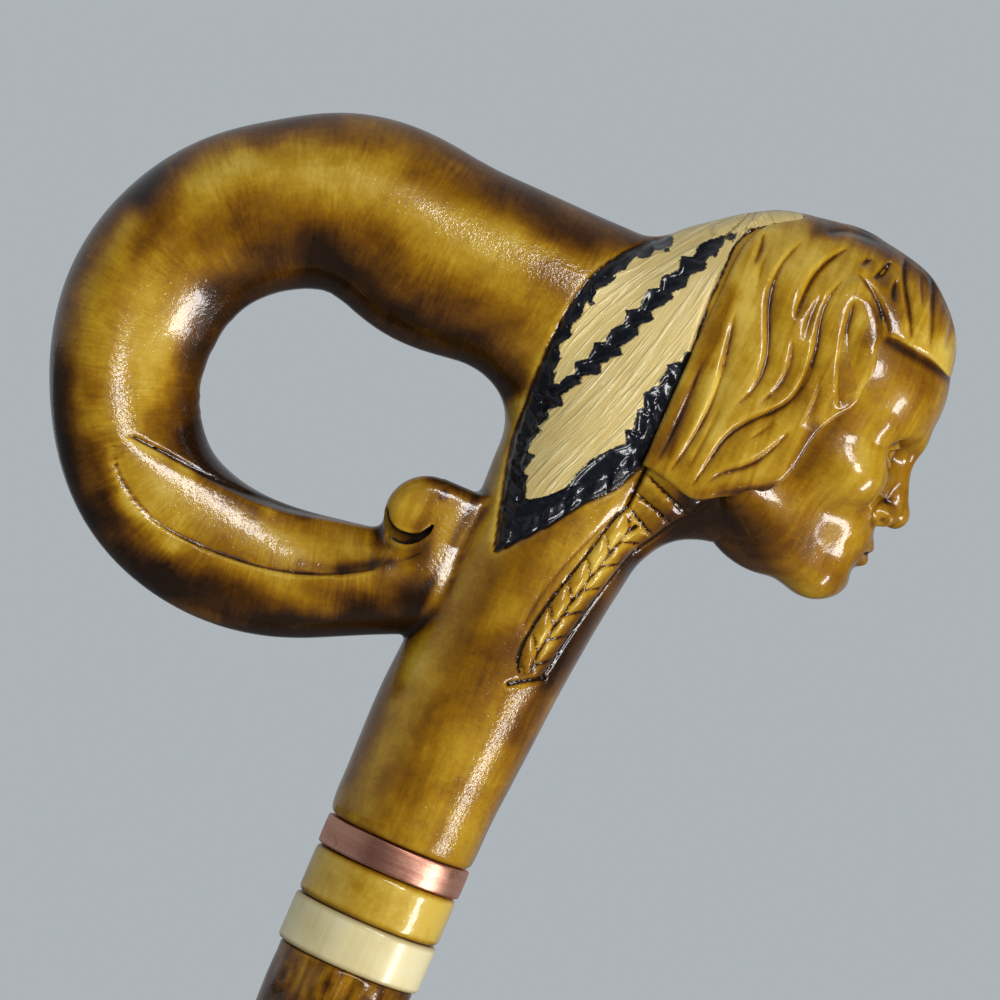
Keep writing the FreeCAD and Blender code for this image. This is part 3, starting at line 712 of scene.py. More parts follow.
def braidRelief(x, z):
    # two rows of strands that lean together down the braid, each a rounded lobe; wraps across its top;
    # a freeing groove beside it, and a cut at its end and at its side
    b = braidSettings
    gap, side, place = nearestOn(x, z, braidLine)
    half = np.interp(place, np.arange(len(braidLine)), braidLine[:, 2])
    along, off = place * fineStep, gap * side / half
    inner, valley = np.clip(1 - np.abs(off), 0, 1), 1 - 0.55 * np.exp(-(off / 0.14) ** 2)
    lobe = (along - b["lean"] * inner) / b["strand"] + 0.5 * (off > 0)
    lobe = lobe - np.floor(lobe)
    plait = (4 * lobe * (1 - lobe)) ** 0.35 * valley * np.clip(1 - off ** 2, 0, 1) ** 0.4
    band = (along - b["wrapStart"]) / b["wrap"]
    band = band - np.floor(band)
    wraps = (4 * band * (1 - band)) ** 0.3 * ease(1.02, 0.86, np.abs(off)) * 0.95
    bound = ease(b["wrapsEnd"] + 0.3, b["wrapsEnd"] - 0.3, along)
    ends = ease(0.0, 1.2, along) * ease(along.max(), along.max() - 1.5, along)
    beside = (np.abs(off) - 1) * half
    groove = np.exp(-(np.maximum(beside, 0) / 0.45) ** 2) * (np.abs(off) > 1) * ease(4, 1.5, np.abs(beside))
    cutOne, cutTwo = (nearestOn(x, z, curveThrough(b[name], 0.4)) for name in ("endCut", "sideCut"))
    fade = ease(0, 8, np.minimum(cutTwo[2], cutTwo[2].max() - cutTwo[2]))
    return (b["rise"] * (bound * wraps + (1 - bound) * plait) * ends - b["rim"] * groove * ends
            - b["endDepth"] * np.exp(-(cutOne[0] / 0.5) ** 2)
            - b["sideDepth"] * np.exp(-(cutTwo[0] / 0.6) ** 2) * fade)


reliefArea = ((-16, 32), (34, 146), 0.2)
featherMap, braidMap = (mapOf(work, *reliefArea) for work in (featherRelief, braidRelief))


handleSettings = {
    # throat between neck and head: a rod flattened across, with a fillet that grows forwards
    "throat": ((4, 0, 88.5), (37, 0, 89), 11.5, 11.0), "throatFlat": 0.86, "throatFillet": (1, 13, 13, 22),
    # scroll: fillet on the loop, edge at its crease, edge of its slot
    "scrollFillet": 3.2, "creaseEdge": 1.0, "slotEdge": 0.25,
    # fillet between neck and loop: its least, what it gains upwards, and the share that it loses at the top
    "fillet": (1.5, 8.7, 70, 79), "filletLoss": (0.75, 91, 101),
    # how far off the middle plane the relief starts and is full
    "reliefFrom": (1.2, 3.2),
}


def handleField(x, y, z):
    # neck and throat, with the loop and the scroll joined on: a wide fillet in the hole's upper corner and
    # a sharp crease at the scroll
    s = handleSettings
    least, gain, *places = s["throatFillet"]
    throat = rodField(x, y * s["throatFlat"], z, *s["throat"])
    neck = meld(neckField(x, y, z), throat, least + gain * ease(*places, x))
    curl = meld(loopField(x, y, z), scrollField(x, y, z), s["scrollFillet"])
    curl = cutBy(curl, roundedRoot(x, y, z), s["creaseEdge"])
    curl = cutBy(curl, -slotField(x, y, z), s["slotEdge"])
    (least, gain, *places), (loss, *lossPlaces) = s["fillet"], s["filletLoss"]
    body = meld(neck, curl, least + gain * ease(*places, z) * (1 - loss * ease(*lossPlaces, z)))
    near = (x > -15) & (x < 31) & (z > 35)
    relief = np.where(near, readMap(featherMap, x, z) + readMap(braidMap, x, z), 0)
    return body - relief * ease(*s["reliefFrom"], np.abs(y))


stainAndLightStrokes = (
    # soft strokes of stain, and one painted highlight, from the side: start, end, radius, darker (+) or lighter (-)
    # top of the loop
    ((-72, 100.5), (-20, 100.5), 4.6, 0.31), ((-72, 112), (-22, 112.5), 4.5, -0.14), ((-68, 88), (-64, 92), 2, 0.1),
    ((-66, 94.5), (-72.5, 84), 4.2, 0.26), ((-62, 119), (-54, 120), 2.6, 0.16),
    ((-62, 123.5), (-57, 124.5), 2, -0.16), ((-58, 97.5), (-68, 93.5), 3.4, 0.3),
    ((-57, 103.5), (-46, 104), 5.5, 0.14), ((-56, 97.5), (-24, 95.5), 3.2, 0.24),
    ((-51, 106.5), (-47, 106), 3, 0.12), ((-50, 112), (-30, 112), 3, 0.08), ((-46, 119), (-12, 118.6), 3, 0.26),
    ((-45, 94.5), (-38, 94), 1.6, 0.15), ((-40, 93), (-28, 93.5), 2, 0.2), ((-33, 106), (-25, 106), 3, -0.1),
    ((-20, 112), (-12, 108), 4, 0.13), ((-20, 118), (-13, 118), 2.5, 0.12), ((-12, 112), (-30, 106), 4, 0.12),
    ((-12, 121), (-30, 122.5), 2.5, 0.22),
    # back of the loop
    ((-93.5, 99), (-91, 95), 3.6, 0.42), ((-93, 70), (-91, 60), 2.4, 0.12), ((-92, 90), (-91, 84), 2.5, -0.16),
    ((-90, 58), (-84, 50), 4, 0.14), ((-90, 80), (-89, 68), 2.6, 0.1), ((-89, 86), (-87, 91.5), 2.8, 0.2),
    ((-86.5, 86), (-86, 60), 3.5, 0.13), ((-86, 96), (-86, 88), 3, 0.16), ((-85, 43), (-93, 57), 4.2, 0.34),
    ((-83, 70), (-83, 85), 4, -0.1), ((-83, 100), (-76, 108), 3.5, -0.12), ((-82, 74), (-80, 66), 3.5, 0.1),
    ((-81, 48.5), (-76.5, 42), 2.4, 0.3), ((-81, 90), (-79, 78), 3, 0.16), ((-78, 51), (-73, 45), 1.8, 0.16),
    ((-78, 92), (-74, 96), 4.5, 0.14), ((-77.5, 50), (-72.5, 43.5), 0.8, -0.2), ((-76, 93), (-72, 96), 3, 0.16),
    ((-75, 113), (-72, 111), 2.5, 0.1), ((-74, 82), (-73, 70), 2.2, 0.2), ((-73, 58), (-67, 53), 2.4, 0.3),
    ((-72.5, 84), (-71, 74), 2.4, 0.2), ((-72, 64), (-71, 58), 2.4, 0.1), ((-68, 112), (-74, 112), 2.6, 0.2),
    # lower arm of the loop; the thin lighter line along the facet's upper ridge, from (-76, 52.4) to (-46, 50.4),
    # is a painted highlight
    ((-76, 37), (-60, 31.5), 4, 0.36), ((-76, 52.4), (-46, 50.4), 0.7, -0.25), ((-75, 41), (-72, 38), 2, 0.25),
    ((-75, 41), (-73, 39), 2, 0.14), ((-74, 34), (-72, 34), 2, -0.15), ((-74, 34), (-72, 34), 1.8, -0.12),
    ((-74, 53.8), (-62, 52.4), 1.2, 0.1), ((-73, 41.6), (-60, 37.5), 1.6, -0.18), ((-70, 47), (-40, 46), 3.5, -0.1),
    ((-68, 39), (-56, 38), 2, 0.16), ((-66, 56.5), (-60, 53.5), 2.5, 0.34), ((-60, 31.5), (-36, 31), 3.4, 0.42),
    ((-60, 37.5), (-30, 41), 1.8, -0.18), ((-60, 52.4), (-40, 52.6), 1.6, 0.4),
    ((-58, 36.5), (-44, 36.5), 2.4, 0.12), ((-57, 28), (-48, 28), 1.6, -0.18), ((-52, 34), (-32, 35.5), 2.6, 0.27),
    ((-52, 40.4), (-38, 40.4), 2.4, 0.15), ((-46, 34.5), (-42, 34.5), 2.2, 0.15),
    ((-46, 51.5), (-28, 53.6), 2.3, -0.38), ((-38, 43.6), (-30, 45.6), 0.9, 0.16), ((-36, 31), (-22, 37), 4, 0.42),
    ((-34, 40), (-24, 42), 2.6, 0.26), ((-34, 40.5), (-30, 41), 2, 0.18), ((-30, 45.6), (-22.5, 50.4), 0.9, 0.22),
    ((-28, 34.5), (-24, 36), 2, 0.15), ((-24, 39.5), (-15, 44), 4, 0.55), ((-22, 47), (-16, 46), 2.4, 0.2),
    ((-22, 50.5), (-30, 46.2), 1.3, 0.3), ((-17.5, 56), (-17, 46), 2.2, 0.16),
    # scroll
    ((-22.5, 60.5), (-22.4, 61), 4.2, -0.14), ((-21, 68.6), (-12, 68.4), 1.5, 0.5),
    ((-20, 58), (-15, 50), 2.5, 0.2), ((-18.1, 66.2), (-18, 65.6), 0.7, 0.6), ((-15, 56), (-14.4, 63), 1.8, -0.1),
    ((-12.4, 68), (-12.8, 56), 0.8, 0.3), ((-12, 60), (-13, 45), 1.2, -0.12),
    # neck and feathers' foot
    ((-13.6, 10), (-13.6, 50), 1.4, 0.14), ((-13, 54), (-15, 41), 0.9, 0.3), ((-11.8, 96), (-11.9, 78), 1.1, -0.16),
    ((-11, 10), (-11, 44), 2.5, -0.08), ((-11, 14), (-11, 30), 1.8, 0.08), ((-10.2, 76), (-6.6, 62), 1.2, -0.16),
    ((-10, 10), (-10.5, 60), 2.8, -0.06), ((-10, 42), (-9, 58), 2.2, 0.08), ((-8, 3.6), (14, 3.6), 1.3, 0.15),
    ((-6, 12), (-5, 26), 2.5, 0.06), ((-5, 11), (-5, 21), 2, -0.1), ((-4, 14), (-4, 24), 3, -0.08),
    ((-3.5, 14), (-4, 56), 2.8, 0.14), ((-2, 46), (3, 52), 2.5, -0.16), ((0, 34), (-2, 58), 3.4, 0.14),
    ((1, 30), (4, 44), 3.5, 0.08), ((2, 18), (1, 30), 2, -0.05), ((2, 47), (4, 53), 2.2, 0.14),
    ((3.5, 48), (4.4, 62), 2.4, -0.08), ((4, 5), (4, 34), 5.5, 0.06), ((4, 46), (3, 60), 3, 0.12),
    ((5, 72), (-1, 63), 2.2, 0.16), ((11, 62), (6, 48), 2, 0.08), ((12, 30), (15, 58), 2.4, 0.22),
    ((13.5, 42), (19, 68), 2.9, 0.34), ((14, 5), (15.5, 36), 2, 0.08), ((15.5, 4), (16.5, 30), 1.6, 0.16),
    ((15.5, 72), (10, 46), 1.8, -0.24),
    # throat, under the hair
    ((12.2, 86), (8, 77), 1.6, 0.25), ((16, 84), (24, 80), 2.2, -0.24), ((19, 68), (24, 76), 3, 0.34),
    ((26, 82), (48, 84), 6, 0.75),
)
brokenStrokes = (
    # where the varnish is crazed and its gloss breaks into grains, from the side
    ((8.5, 4), (9, 38), 3, 0.9), ((-34, 113), (-12, 112), 6.5, 0.9), ((-72, 48), (-46, 47), 2.6, 0.1),
    ((-84, 64), (-77, 54), 3, 0.5), ((-16, 60), (-14, 52), 3, 0.6),
)
stainSettings = {"base": 0.27, "inner": 0.6, "outer": 0.46, "neck": 0.35}


def strokedTone(x, z, base, strokes):
    # a base tone and soft strokes, each fading off with the square of the distance from its line
    tone = np.full(len(x), float(base))
    for start, end, radius, amount in strokes:
        run = np.array(end) - start
        share = np.clip(((x - start[0]) * run[0] + (z - start[1]) * run[1]) / (run @ run), 0, 1)
        gap = np.hypot(x - start[0] - share * run[0], z - start[1] - share * run[1])
        tone += amount * np.exp(-(gap / radius) ** 2)
    return tone


def stainAndLightAt(x, y, z):
    # base tone, darker towards the loop's outer and inner rim, plus the strokes, among them a painted highlight on
    # the facet's upper ridge; the brush's course along and around; and how much of the place belongs to the loop
    distance, side, place = nearestOn(x, z, loopLine)
    depth = np.interp(place, np.arange(len(loopLine)), loopLine[:, 2])
    rim = distance * side / depth
    loop, neck, curl = (field(x, y, z) for field in (loopField, neckField, scrollField))
    loopness = ease(1.5, -1.5, loop - neck) * ease(-0.5, 1.5, curl - loop)
    s = stainSettings
    rims = s["inner"] * ease(0.5, 0.97, rim) + s["outer"] * ease(-0.5, -0.97, rim)
    tone = s["base"] + loopness * rims + (1 - loopness) * (s["neck"] - s["base"])
    tone += strokedTone(x, z, 0, stainAndLightStrokes)
    along = np.where(loopness > 0.5, place * loopSettings["spacing"], z)
    around = np.where(loopness > 0.5, distance * side, x + 0.6 * y)
    return tone, along, around, loopness


def steps(*marks):
    # grid lines from (start, step) pairs and a last place
    ends = [start for start, step in marks[1:-1]] + [marks[-1]]
    lines = [np.arange(start, end, step) for (start, step), end in zip(marks[:-1], ends)]
    return np.concatenate(lines + [[marks[-1]]])


def splitAt(points, faces, where, between):
    # two closed meshes from one: the faces on each side, and a cap round the middle of each open rim
    parts = []
    for keep in (points[faces, 0].mean(1) < where, points[faces, 0].mean(1) >= where):
        own = faces[keep]
        edges = edgesOf(own)
        code, back = edges @ (len(points), 1), edges @ (1, len(points))
        rim = edges[~np.isin(code, back)]
        used = np.unique(own)
        number = np.zeros(len(points), int)
        number[used] = np.arange(len(used))
        upper = points[rim[:, 0], 2] > between
        middles = [points[np.unique(rim[upper == high])].mean(0) for high in (False, True)]
        middle = len(used) + upper.astype(int)
        cap = np.stack([number[rim[:, 1]], number[rim[:, 0]], middle], 1)
        parts.append((np.vstack([points[used], middles]), number[own], cap, used))
    return parts


def handleMarks(points, faces):
    # what the handle's material reads, one number for each point
    x, z = points[:, 0], points[:, 2]
    stainandlight, along, around, loopness = stainAndLightAt(*points.T)
    whole, pale, _, quill = featherEdges(x, z)
    fibre, fibreAlong = fibreCourse(x, z)
    shown = (np.abs(points[:, 1]) > 1.2) & (z > 55)
    panel, vane = (np.where(shown, np.minimum(edge, quill), 5) for edge in (whole, pale))
    return {"stainandlight": stainandlight, "along": along, "around": around, "broken": strokedTone(x, z, 0, brokenStrokes),
            "hollow": hollows(points, faces, 3), "wide": hollows(points, faces, 24),
            "panel": panel, "pale": vane, "fibre": fibre, "fibreAlong": fibreAlong,
            "lengthwise": 0.36 - 0.21 * loopness, "crosswise": 0.25 + 0.75 * loopness}


def handlePart(name, part, marks):
    # one side of the cut loop; the two middles of its caps get a mark of their own
    points, faces, cap, used = part
    own = {mark: np.append(values[used], [0.5, 0.5]) for mark, values in marks.items()}
    return makePiece(name, points, faces, "handle", woodMaterial, own, cap=cap)


print("carving the handle")
points, faces = carve(handleField, steps((-101, 1.2), (-33.2, 0.7), (-12.9, 0.5), (28.1, 0.8), 50),
                      np.arange(-20.1, 20.2, 0.6), steps((1.5, 1.0), (24.5, 0.52), 143))
marks = handleMarks(points, faces)
# one carving, in two pieces that meet on the loop; the rims of the loop's two arms lie above and below 75
loopPart, corePart = splitAt(points, faces, -30.2, 75)
handlePart("handle_loop", loopPart, marks)
corePiece = handlePart("handle_core", corePart, marks)
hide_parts("handle")


hairSettings = {
    "stainandlight": 0.22,
    # height, back edge, front edge, half width of the whole head's round form
    "rows": ((74, 0, 40, 15.0), (82, 0, 44, 16.6), (88, 0, 48, 17.8), (95, 0, 52, 18.6), (103, 0, 56, 19.2),
             (111, 0, 59, 19.4), (119, 0, 60.4, 19.2), (124, 0.4, 60.6, 18.7), (127, 1.6, 60.1, 18.0),
             (131.5, 6.4, 58.2, 16.0), (135.5, 12.0, 55, 13.2), (138.5, 17.0, 51.6, 10.2), (140.3, 20.6, 48.6, 7.6),
             (141.5, 24.4, 45.2, 5.2), (142.5, 28.5, 41.2, 3.4)),
    # outline from the side, run anticlockwise from the nape
    "outline": ((13.6, 85.6), (19, 84.6), (25.5, 83.6), (28.6, 85.4), (33, 87.6), (37, 90.4), (39.3, 94.5),
                (40.2, 99), (41, 103.5), (42.8, 107.2), (45.4, 110.8), (46.5, 115), (46.2, 119.5), (45.0, 123.6),
                (46.6, 125.0), (50, 125.1), (54.5, 124.7), (60, 122.9), (66, 121), (66, 134), (60, 146),
                (46, 152), (33, 152), (27, 146), (23.5, 140.6), (19.6, 137.6), (16.8, 134.8), (15.2, 131),
                (14.4, 124), (13.9, 112), (13.7, 100)),
    "edge": 1.1, "power": 2.35,
    # long cuts between the locks, from the side; each with its depth
    "cuts": ((0.75, ((24.8, 135.4), (22.9, 130), (23.4, 122), (25.8, 116), (27, 112), (26.8, 106), (25, 102))),
             (0.9, ((33, 137.4), (30, 132.5), (28.9, 128), (28.8, 121.5))),
             (0.9, ((34.2, 131.5), (33, 125), (34.5, 118), (35, 112), (34, 107), (30, 102), (25.8, 96),
                    (24.5, 90), (23.5, 85))),
             (1.0, ((37.6, 129), (38.5, 123), (40.5, 116), (42.8, 109.5))),
             (0.7, ((18.3, 118.5), (19.5, 112), (20.8, 104), (20.8, 98), (20, 92), (18.8, 86))),
             (0.6, ((36.2, 102), (34.2, 97), (31, 92.5), (27, 89), (25.8, 86.6))),
             (0.5, ((38.6, 92.5), (34.8, 89.6), (30.8, 87.2), (27.5, 85.5))),
             (0.6, ((17.4, 134), (18.2, 130.5), (18.0, 127.5))),
             (1.0, ((41.2, 138.4), (40.6, 136), (39.4, 133.9))),
             (1.0, ((43.6, 141.2), (45.2, 136), (48.0, 131), (50.2, 126.6))),
             (0.8, ((49.6, 140.0), (52.2, 133), (54.2, 126.6))),
             (0.7, ((43.4, 136.2), (43.8, 133.6), (44.6, 131.2))),
             (0.8, ((28.4, 138.6), (32, 141), (38, 141.2))),
             (0.5, ((16.2, 108), (16.6, 100), (16.4, 92), (16, 87))),
             (0.5, ((29.8, 118), (31.4, 112), (30.6, 107.5), (28.6, 103.6))),
             (0.45, ((56, 134), (56.8, 130.5), (57.2, 127.4))),
             (0.45, ((37.8, 137.6), (36.4, 135.4))), (0.4, ((21.8, 108), (22.4, 100), (22.1, 93), (21.4, 87))),
             (0.35, ((19.8, 134.6), (19.5, 129), (20.2, 124))), (0.4, ((31.6, 128.5), (31.3, 123), (31.9, 118))),
             (0.35, ((28.8, 100.5), (26.7, 95.5), (26.1, 91))), (0.4, ((37.2, 114), (38.3, 109), (38.0, 103.6))),
             (0.35, ((33.4, 105), (31.8, 100.6), (29, 96.4))), (0.5, ((47.2, 139.4), (50.2, 132.4))),
             (0.45, ((56.6, 138), (59.2, 130))),
             (0.9, ((36.2, 133.6), (39, 132.3), (42, 130.0), (44.8, 126.2), (46.4, 121.5), (47, 117)))),
    "cutWidth": 0.55, "slopeWidth": 2.6,
    # the front lock's edge, where it lies over the fringe
    "lock": ((35.2, 133.9), (38, 132.4), (41, 130.2), (44, 126.4), (45.6, 122.5)),
    # the lock's rise; how dark the painted shade in the cuts is; the lid's easing; and the share of the hollows'
    # painted shade that the hair takes
    "lockRise": 0.8, "cutShade": 0.2, "lidEase": 4.0, "hollowShare": 0.55,
    # straight strands over the front and the top
    "strandDepth": 0.34, "strandWidth": 3.4,
}
hairStrokes = (
    ((27, 139.8), (36, 141.4), 2.8, 0.36), ((36, 141.4), (50, 138.8), 2.6, 0.4),
    ((50, 138.8), (58, 132.5), 1.8, 0.3), ((46, 130), (58, 129), 3, 0.06), ((34, 118), (42, 122), 4, 0.05),
    ((20.5, 92), (20, 104), 2.4, -0.16), ((18, 124), (24, 130), 3, -0.13), ((26, 134), (33, 132), 2.4, -0.1),
    ((30, 87), (38, 90), 1.8, 0.3), ((40, 92), (40.6, 104), 1.5, 0.28), ((43, 123.5), (46, 127), 1.6, 0.22),
    ((26, 138), (29, 139.5), 1.6, 0.2), ((38, 137), (41, 135), 2, 0.18), ((52, 135), (55, 131), 1.6, 0.14),
    ((43, 134), (46, 129), 2, 0.2), ((16, 121), (16.6, 90), 1.9, 0.24), ((20, 126), (21, 96), 2.2, -0.06),
    ((31, 128), (32, 108), 2.2, -0.06), ((38, 104), (33, 94), 3, -0.04), ((48, 128.5), (57, 127.5), 1.6, -0.1),
    ((26, 84.4), (38, 91), 1.6, 0.24), ((40, 96), (45, 111), 1.3, 0.2), ((39.5, 92), (40.5, 104), 1.5, 0.1),
    ((19, 88), (24, 96), 2.6, -0.1), ((40, 129), (43.5, 127.5), 1.3, 0.3), ((17, 132), (19, 120), 2.6, -0.07),
)
headTable = tableOf(hairSettings["rows"])
hairLoop = curveThrough(hairSettings["outline"] + hairSettings["outline"][:1], 0.3)


def headForm(x, y, z):
    # boxy ovals at each height, closed by a level lid
    back, front, width = (np.interp(z, headTable[0], headTable[1][:, k]) for k in range(3))
    power, halfDepth = hairSettings["power"], (front - back) / 2
    far = (np.abs(x - (back + front) / 2) / halfDepth) ** power + (np.abs(y) / width) ** power
    side = (far ** (1 / power) - 1) * np.minimum(width, halfDepth)
    return cutBy(side, z - headTable[0][-1] - 0.5, hairSettings["lidEase"])


def hairCuts(x, z):
    # depth of the cuts, and their darkness, which is painted shade in each groove and down its long slope: a narrow
    # groove, widest in its middle, with a long slope on one side, as a gouge leaves it
    h, shape = hairSettings, np.broadcast(x, z).shape
    depth, dark = np.zeros(shape), np.zeros(shape)
    for deep, corners in h["cuts"]:
        line = curveThrough(corners, 0.5)
        distance, side, place = nearestOn(x, z, line)
        share = place / (len(line) - 1)
        fade = np.sin(np.pi * np.clip(share, 0, 1)) ** 0.6
        narrow = np.exp(-(distance / (h["cutWidth"] * (0.55 + 0.55 * fade))) ** 2)
        slope = np.exp(-(distance / np.where(side > 0, h["slopeWidth"], 0.8)) ** 2)
        depth = np.maximum(depth, deep * fade * (0.8 * narrow + 0.85 * slope))
        dark = np.maximum(dark, fade * (0.9 * deep * narrow + 0.38 * slope))
    return depth, dark


def lockStep(x, z):
    # the front lock stands proud of the fringe along its edge
    distance, side, place = nearestOn(x, z, curveThrough(hairSettings["lock"], 0.4))
    over = ease(0.5, -0.3, distance * side) * np.exp(-(distance / 5) ** 2)
    return hairSettings["lockRise"] * over * ease(0, 6, place)


def hairOutline(x, z):
    return within(x, z, hairLoop)[0]


headArea = ((8, 66), (72, 146), 0.2)
(cutDepth, cutDark), *headGrid = mapOf(hairCuts, *headArea)
cutMap, cutTone = (cutDepth, *headGrid), (cutDark, *headGrid)
lockMap, outlineMap = (mapOf(work, *headArea) for work in (lockStep, hairOutline))


def hairField(x, y, z):
    # the head's round form inside the hair's outline, with the cuts on its flanks and straight strands
    # over its front and top
    h = hairSettings
    form, flank = trueMm(headForm, x, y, z), ease(2.0, 6.5, np.abs(y))
    wave = np.abs(y) + 0.5 * np.sin(z * 0.45 + x * 0.2)
    strands = h["strandDepth"] * (0.5 - 0.5 * np.cos(2 * np.pi * wave / h["strandWidth"])) ** 0.7
    relief = readMap(cutMap, x, z) * flank + strands * (1 - flank)
    return cutBy(form + relief * ease(142.8, 138.5, z) - readMap(lockMap, x, z) * flank,
                 readMap(outlineMap, x, z), h["edge"])


def hairMarks(points, faces):
    x, y, z = points.T
    # the cuts are darkened with painted shade
    dark = hairSettings["cutShade"] * readMap(cutTone, x, z) * ease(2, 6, np.abs(y))
    return {"stainandlight": strokedTone(x, z, hairSettings["stainandlight"], hairStrokes) + dark, "along": z, "around": x,
            "hollow": hollows(points, faces, 3) * hairSettings["hollowShare"],
            "wide": hollows(points, faces, 20)}


print("carving the hair")
points, faces = carve(hairField, np.arange(12, 62.5, 0.42), np.arange(-20.4, 20.5, 0.42),
                      np.arange(81.5, 144, 0.42))
makePiece("handle_hair", points, faces, "handle", hairMaterial, hairMarks(points, faces))


faceSettings = {
    # balls as middle and half sizes; rods as two ends and two radii; the near half, from the side
    "skull": ((37, 0, 113.5), (23.6, 18.0, 28)), "forehead": ((44, 0, 118), (17, 16.5, 16)),
    "jaw": ((40, 0, 92), (16.5, 13.6, 16.5)), "chin": ((52.3, 0, 80.6), (5.6, 6.2, 4.6)),
    "jawLine": ((51, 5.5, 79.8), (33, 12.4, 88), 4.2, 3.4), "cheek": ((49.5, 10.8, 99.5), (6.5, 5, 5.2)),
    "brow": ((57.4, 2.6, 110.4), (51, 12.2, 109.8), 2.3, 1.9), "browMiddle": ((57.2, 0, 109.6), (2.8, 3.4, 2.6)),
    "socket": ((58.2, 6.9, 105.9), (4.7, 4.9, 3.3)), "eye": ((52.3, 7.0, 105.6), 4.15),
    "lid": 0.55, "eyeOpen": (1.75, 4.2), "iris": 1.75,
    "nose": ((57.4, 0, 107.6), (60.9, 0, 96.4), 1.8, 2.5), "noseTip": ((60.9, 0, 95.7), (2.7, 2.6, 2.5)),
    "wing": ((58.6, 3.3, 94.7), (2.8, 2.0, 2.1)), "nostril": ((60.2, 1.8, 92.9), (1.5, 0.9, 1.1)),
    "muzzle": ((51.5, 0, 88.5), (7.4, 8.6, 6.8)), "upperLip": ((59.0, 0, 88.7), (55.6, 5.6, 87.5), 1.3, 0.6),
    "lowerLip": ((58.6, 0, 85.3), (55.4, 4.8, 86.5), 1.5, 0.7),
    "mouth": ((60.2, 0, 87.0), (55.6, 6.3, 86.9), 0.34, 0.34),
    "lipGroove": ((60.6, 0, 92.0), (60.6, 0, 89.6), 0.7, 0.7),
    "chinFold": ((60.0, 0, 82.9), (59.2, 3.0, 83.0), 1.2, 1.0),
    "cheekFold": ((59.2, 5.0, 93.6), (56.2, 8.6, 87.2), 0.5, 0.5),
    "pupil": 0.75, "stainandlight": 0.4,
}
# the first stroke is a painted shadow line under the fringe
faceStrokes = (
    ((46.5, 124.4), (60.5, 123.2), 1, 0.5), ((53, 78), (46, 82), 4, 0.06), ((50, 121), (56, 121), 3, 0.12),
    ((52, 103), (50, 100), 4, -0.1), ((48, 90), (44, 84), 4, 0.14), ((43, 108), (41, 96), 3, 0.2),
    ((58, 117), (58, 122), 2.5, 0.05), ((28, 85), (38, 80), 6, 0.5),
)


def faceField(x, y, z):
    # rounded forms melded together, with sockets, mouth and folds cut in; both halves alike
    f, side = faceSettings, np.abs(y)

    def ball(name):
        return ballField(x, side, z, *f[name])

    def rod(name):
        return rodField(x, side, z, *f[name])

    head = meld(meld(ball("skull"), ball("forehead"), 4), ball("jaw"), 8)
    head = meld(meld(head, rod("jawLine"), 6), ball("chin"), 5)
    head = meld(meld(head, ball("cheek"), 5), ball("muzzle"), 4)
    head = meld(meld(head, rod("brow"), 3), ball("browMiddle"), 4)
    head = cutBy(head, -ball("socket"), 2.5)
    (eyeX, eyeY, eyeZ), radius = f["eye"]
    eye = np.sqrt((x - eyeX) ** 2 + (side - eyeY) ** 2 + (z - eyeZ) ** 2) - radius
    high, wide = f["eyeOpen"]
    across = side - eyeY
    opening = np.abs(z - eyeZ + 0.15 - 0.04 * across) - high * np.clip(1 - (across / wide) ** 2, 0, 1) ** 0.8
    lids = cutBy(eye - f["lid"], -opening, 0.25)
    off = np.hypot(across, z - eyeZ)
    eye = eye + 0.3 * np.exp(-(off / f["pupil"]) ** 2) + 0.16 * np.exp(-((off - f["iris"]) / 0.25) ** 2)
    head = meld(meld(head, lids, 0.7), eye, 0.15)
    head = meld(head, rod("nose"), 2.6)
    head = meld(meld(head, ball("noseTip"), 1.6), ball("wing"), 1.2)
    head = cutBy(head, -ball("nostril"), 0.6)
    head = meld(meld(head, rod("upperLip"), 1.3), rod("lowerLip"), 1.3)
    head = cutBy(cutBy(head, -rod("mouth"), 0.5), -rod("lipGroove"), 1.4)
    head = cutBy(cutBy(head, -rod("chinFold"), 2.4), -rod("cheekFold"), 1.8)
    return np.maximum(head, 24 - x)


def faceMarks(points, faces):
    # stain from the strokes, among them a painted shadow line under the fringe, with the iris and its pupil a
    # little darker; the hollows, the wide ones made stronger, give painted shade
    x, y, z = points.T
    f, (eyeX, eyeY, eyeZ) = faceSettings, faceSettings["eye"][0]
    off = np.hypot(np.abs(y) - eyeY, z - eyeZ)
    iris = ease(f["iris"] + 0.1, f["iris"] - 0.25, off) * (x > eyeX + 1) * (0.3 + 0.5 * ease(0.9, 0.6, off))
    return {"stainandlight": strokedTone(x, z, f["stainandlight"], faceStrokes) + iris, "along": z, "around": x + y,
            "hollow": hollows(points, faces, 3), "wide": 1.6 * hollows(points, faces, 24)}


print("carving the face")
points, faces = carve(faceField, np.arange(23, 66, 0.36), np.arange(-18.18, 18.3, 0.36),
                      np.arange(73, 142.6, 0.36))
makePiece("handle_face", points, faces, "handle", faceMaterial, faceMarks(points, faces))


def heights(node):
    # lowest and highest place of a solid, in mm from the copper ring's middle
    low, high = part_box(node)
    return low[2] * 1000 - ringMiddle[2], high[2] * 1000 - ringMiddle[2]


def easedProfile(corners, count=5):
    # (radius, height, easing) corners as a line whose corners are rounded by small parabolas
    rows, last = [], len(corners)
    for place, (radius, height, easing) in enumerate(corners):
        here = np.array([radius, height])
        if easing == 0:
            rows.append(here[None, :])
            continue
        before, after = np.array(corners[place - 1][:2]), np.array(corners[(place + 1) % last][:2])
        start = here + (before - here) * easing / np.linalg.norm(before - here)
        end = here + (after - here) * easing / np.linalg.norm(after - here)
        share = np.linspace(0, 1, count)[:, None]
        rows.append(start * (1 - share) ** 2 + 2 * here * share * (1 - share) + end * share ** 2)
    return np.vstack(rows)


